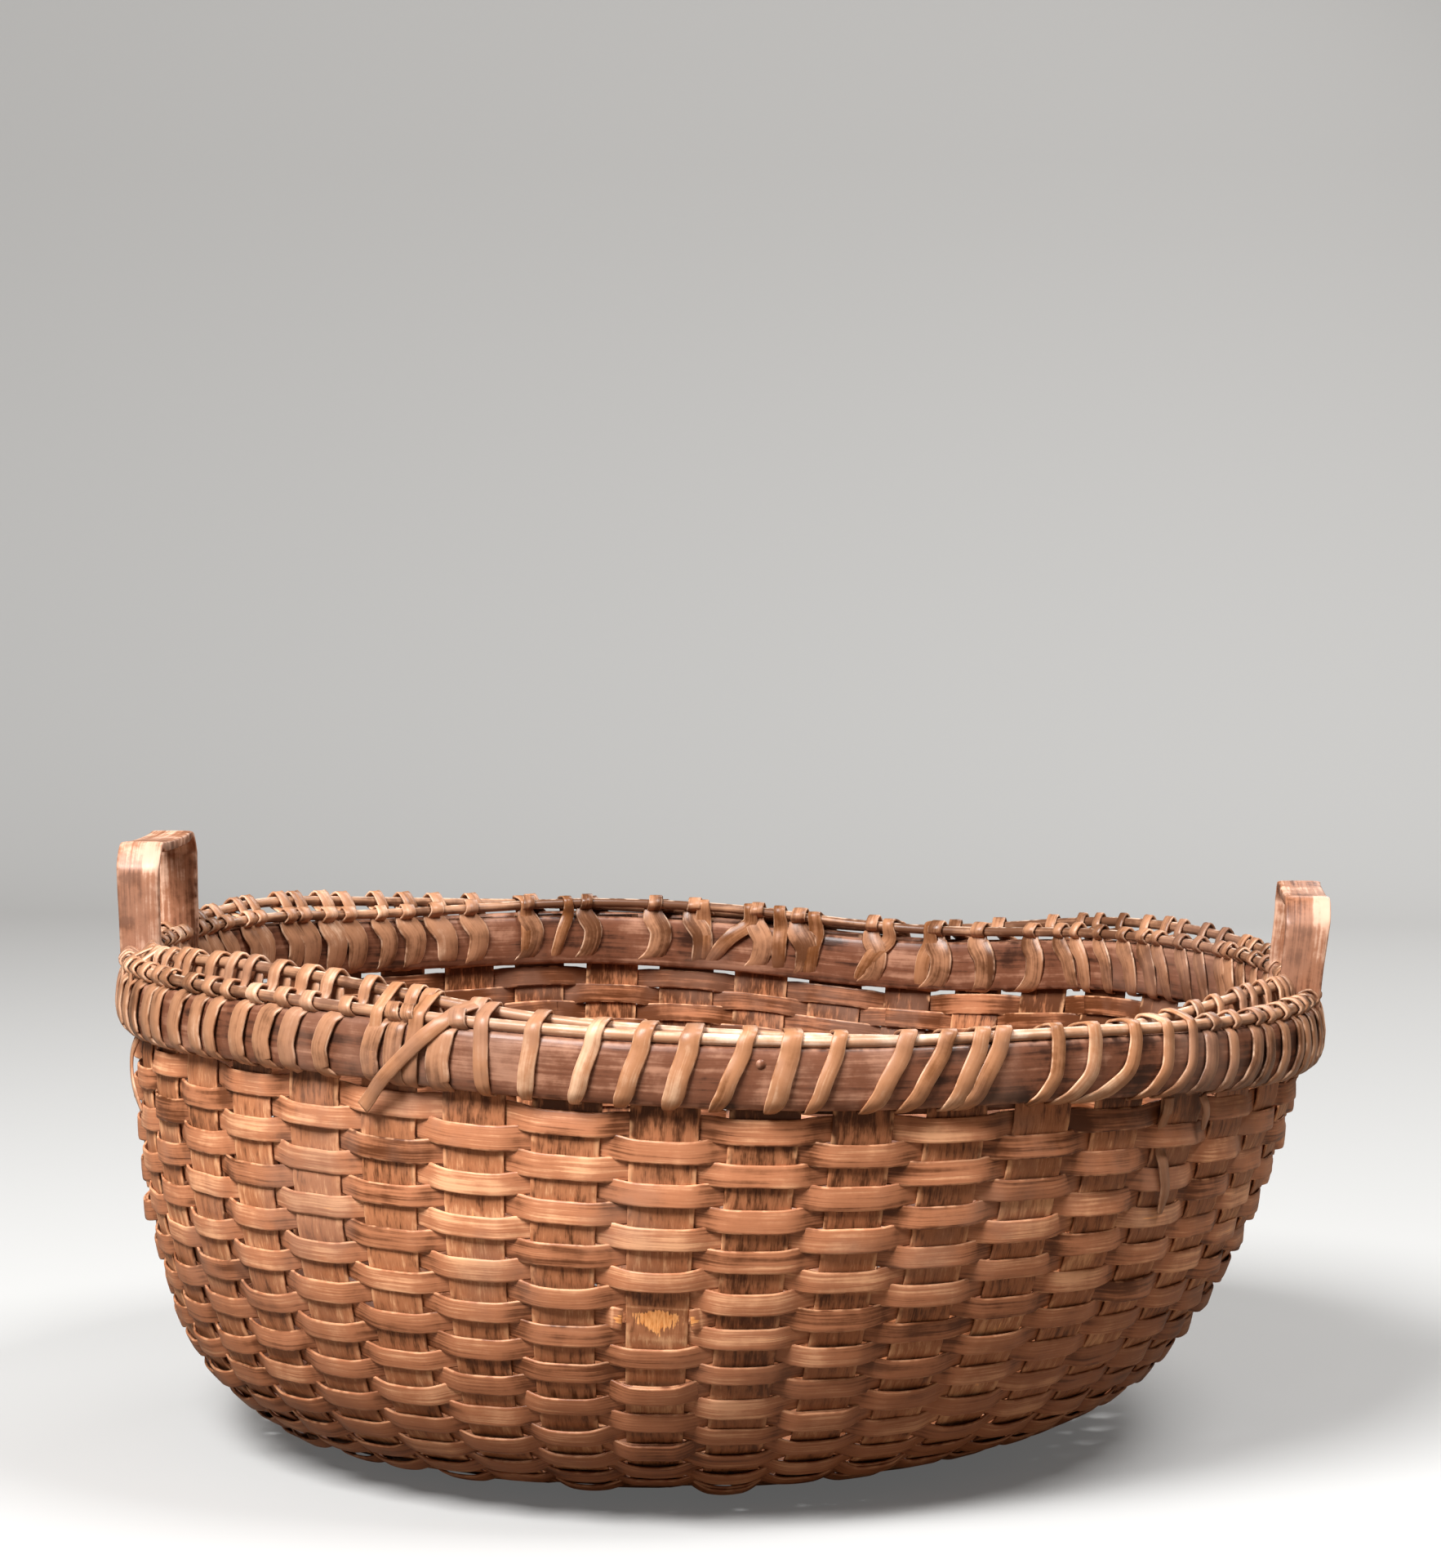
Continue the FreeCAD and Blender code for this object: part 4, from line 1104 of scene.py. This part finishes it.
def make_floor():
    """Plain pale sweep: a floor that curves up to a backdrop well behind the basket."""
    profile = [(-FLOOR_HALF, 0.0)] + [
        (SWEEP_START + SWEEP_RADIUS * math.sin(turn), SWEEP_RADIUS * (1.0 - math.cos(turn)))
        for turn in np.linspace(0.0, math.pi / 2.0, 16)
    ] + [(SWEEP_START + SWEEP_RADIUS, SWEEP_TOP)]
    points = [(x, y, z) for y, z in profile for x in (-FLOOR_HALF, FLOOR_HALF)]
    quads = [(2 * i, 2 * i + 1, 2 * i + 3, 2 * i + 2) for i in range(len(profile) - 1)]
    mesh = bpy.data.meshes.new("floor")
    mesh.from_pydata(points, [], quads)
    mesh.polygons.foreach_set("use_smooth", [True] * len(quads))
    mesh.materials.append(floor_finish())
    placed("floor", mesh)


def make_light():
    """Large soft lamps and an even pale sky."""
    for name, place, size, power in LAMPS:
        lamp = bpy.data.lights.new(name, "AREA")
        lamp.size = size
        lamp.energy = power
        item = placed(name, lamp)
        item.location = place
        item.rotation_euler = (LAMP_TARGET - Vector(place)).to_track_quat("-Z", "Y").to_euler()
    world = bpy.data.worlds.new("sky")
    nodes = blank(world)
    seen = nodes.add("ShaderNodeLightPath", output="Is Camera Ray")
    sky = {"Color": nodes.mix(seen, SKY_LIT, SKY_SEEN), "Strength": SKY_STRENGTH + seen * SKY_SEEN_EXTRA}
    shader = nodes.add("ShaderNodeBackground", None, sky)
    nodes.add("ShaderNodeOutputWorld", None, {"Surface": shader})
    bpy.context.scene.world = world


def make_camera():
    camera = bpy.data.cameras.new("photo_camera")
    camera.sensor_width = SENSOR
    camera.lens = SENSOR * FOCAL_PIXELS / PHOTO_HEIGHT
    camera.clip_end = 50.0
    item = placed("photo_camera", camera)
    aside, away = CAMERA_DISTANCE * math.sin(CAMERA_TURN), CAMERA_DISTANCE * math.cos(CAMERA_TURN)
    item.location = (aside, -away, CAMERA_HEIGHT)
    item.rotation_euler = (math.pi / 2.0 - CAMERA_DOWN, 0.0, CAMERA_TURN)
    bpy.context.scene.camera = item


make_wall()
make_rim()
make_lashing()
make_handles()
make_floor()
make_light()
make_camera()
bpy.context.scene.view_settings.view_transform = "Standard"
bpy.context.view_layer.update()
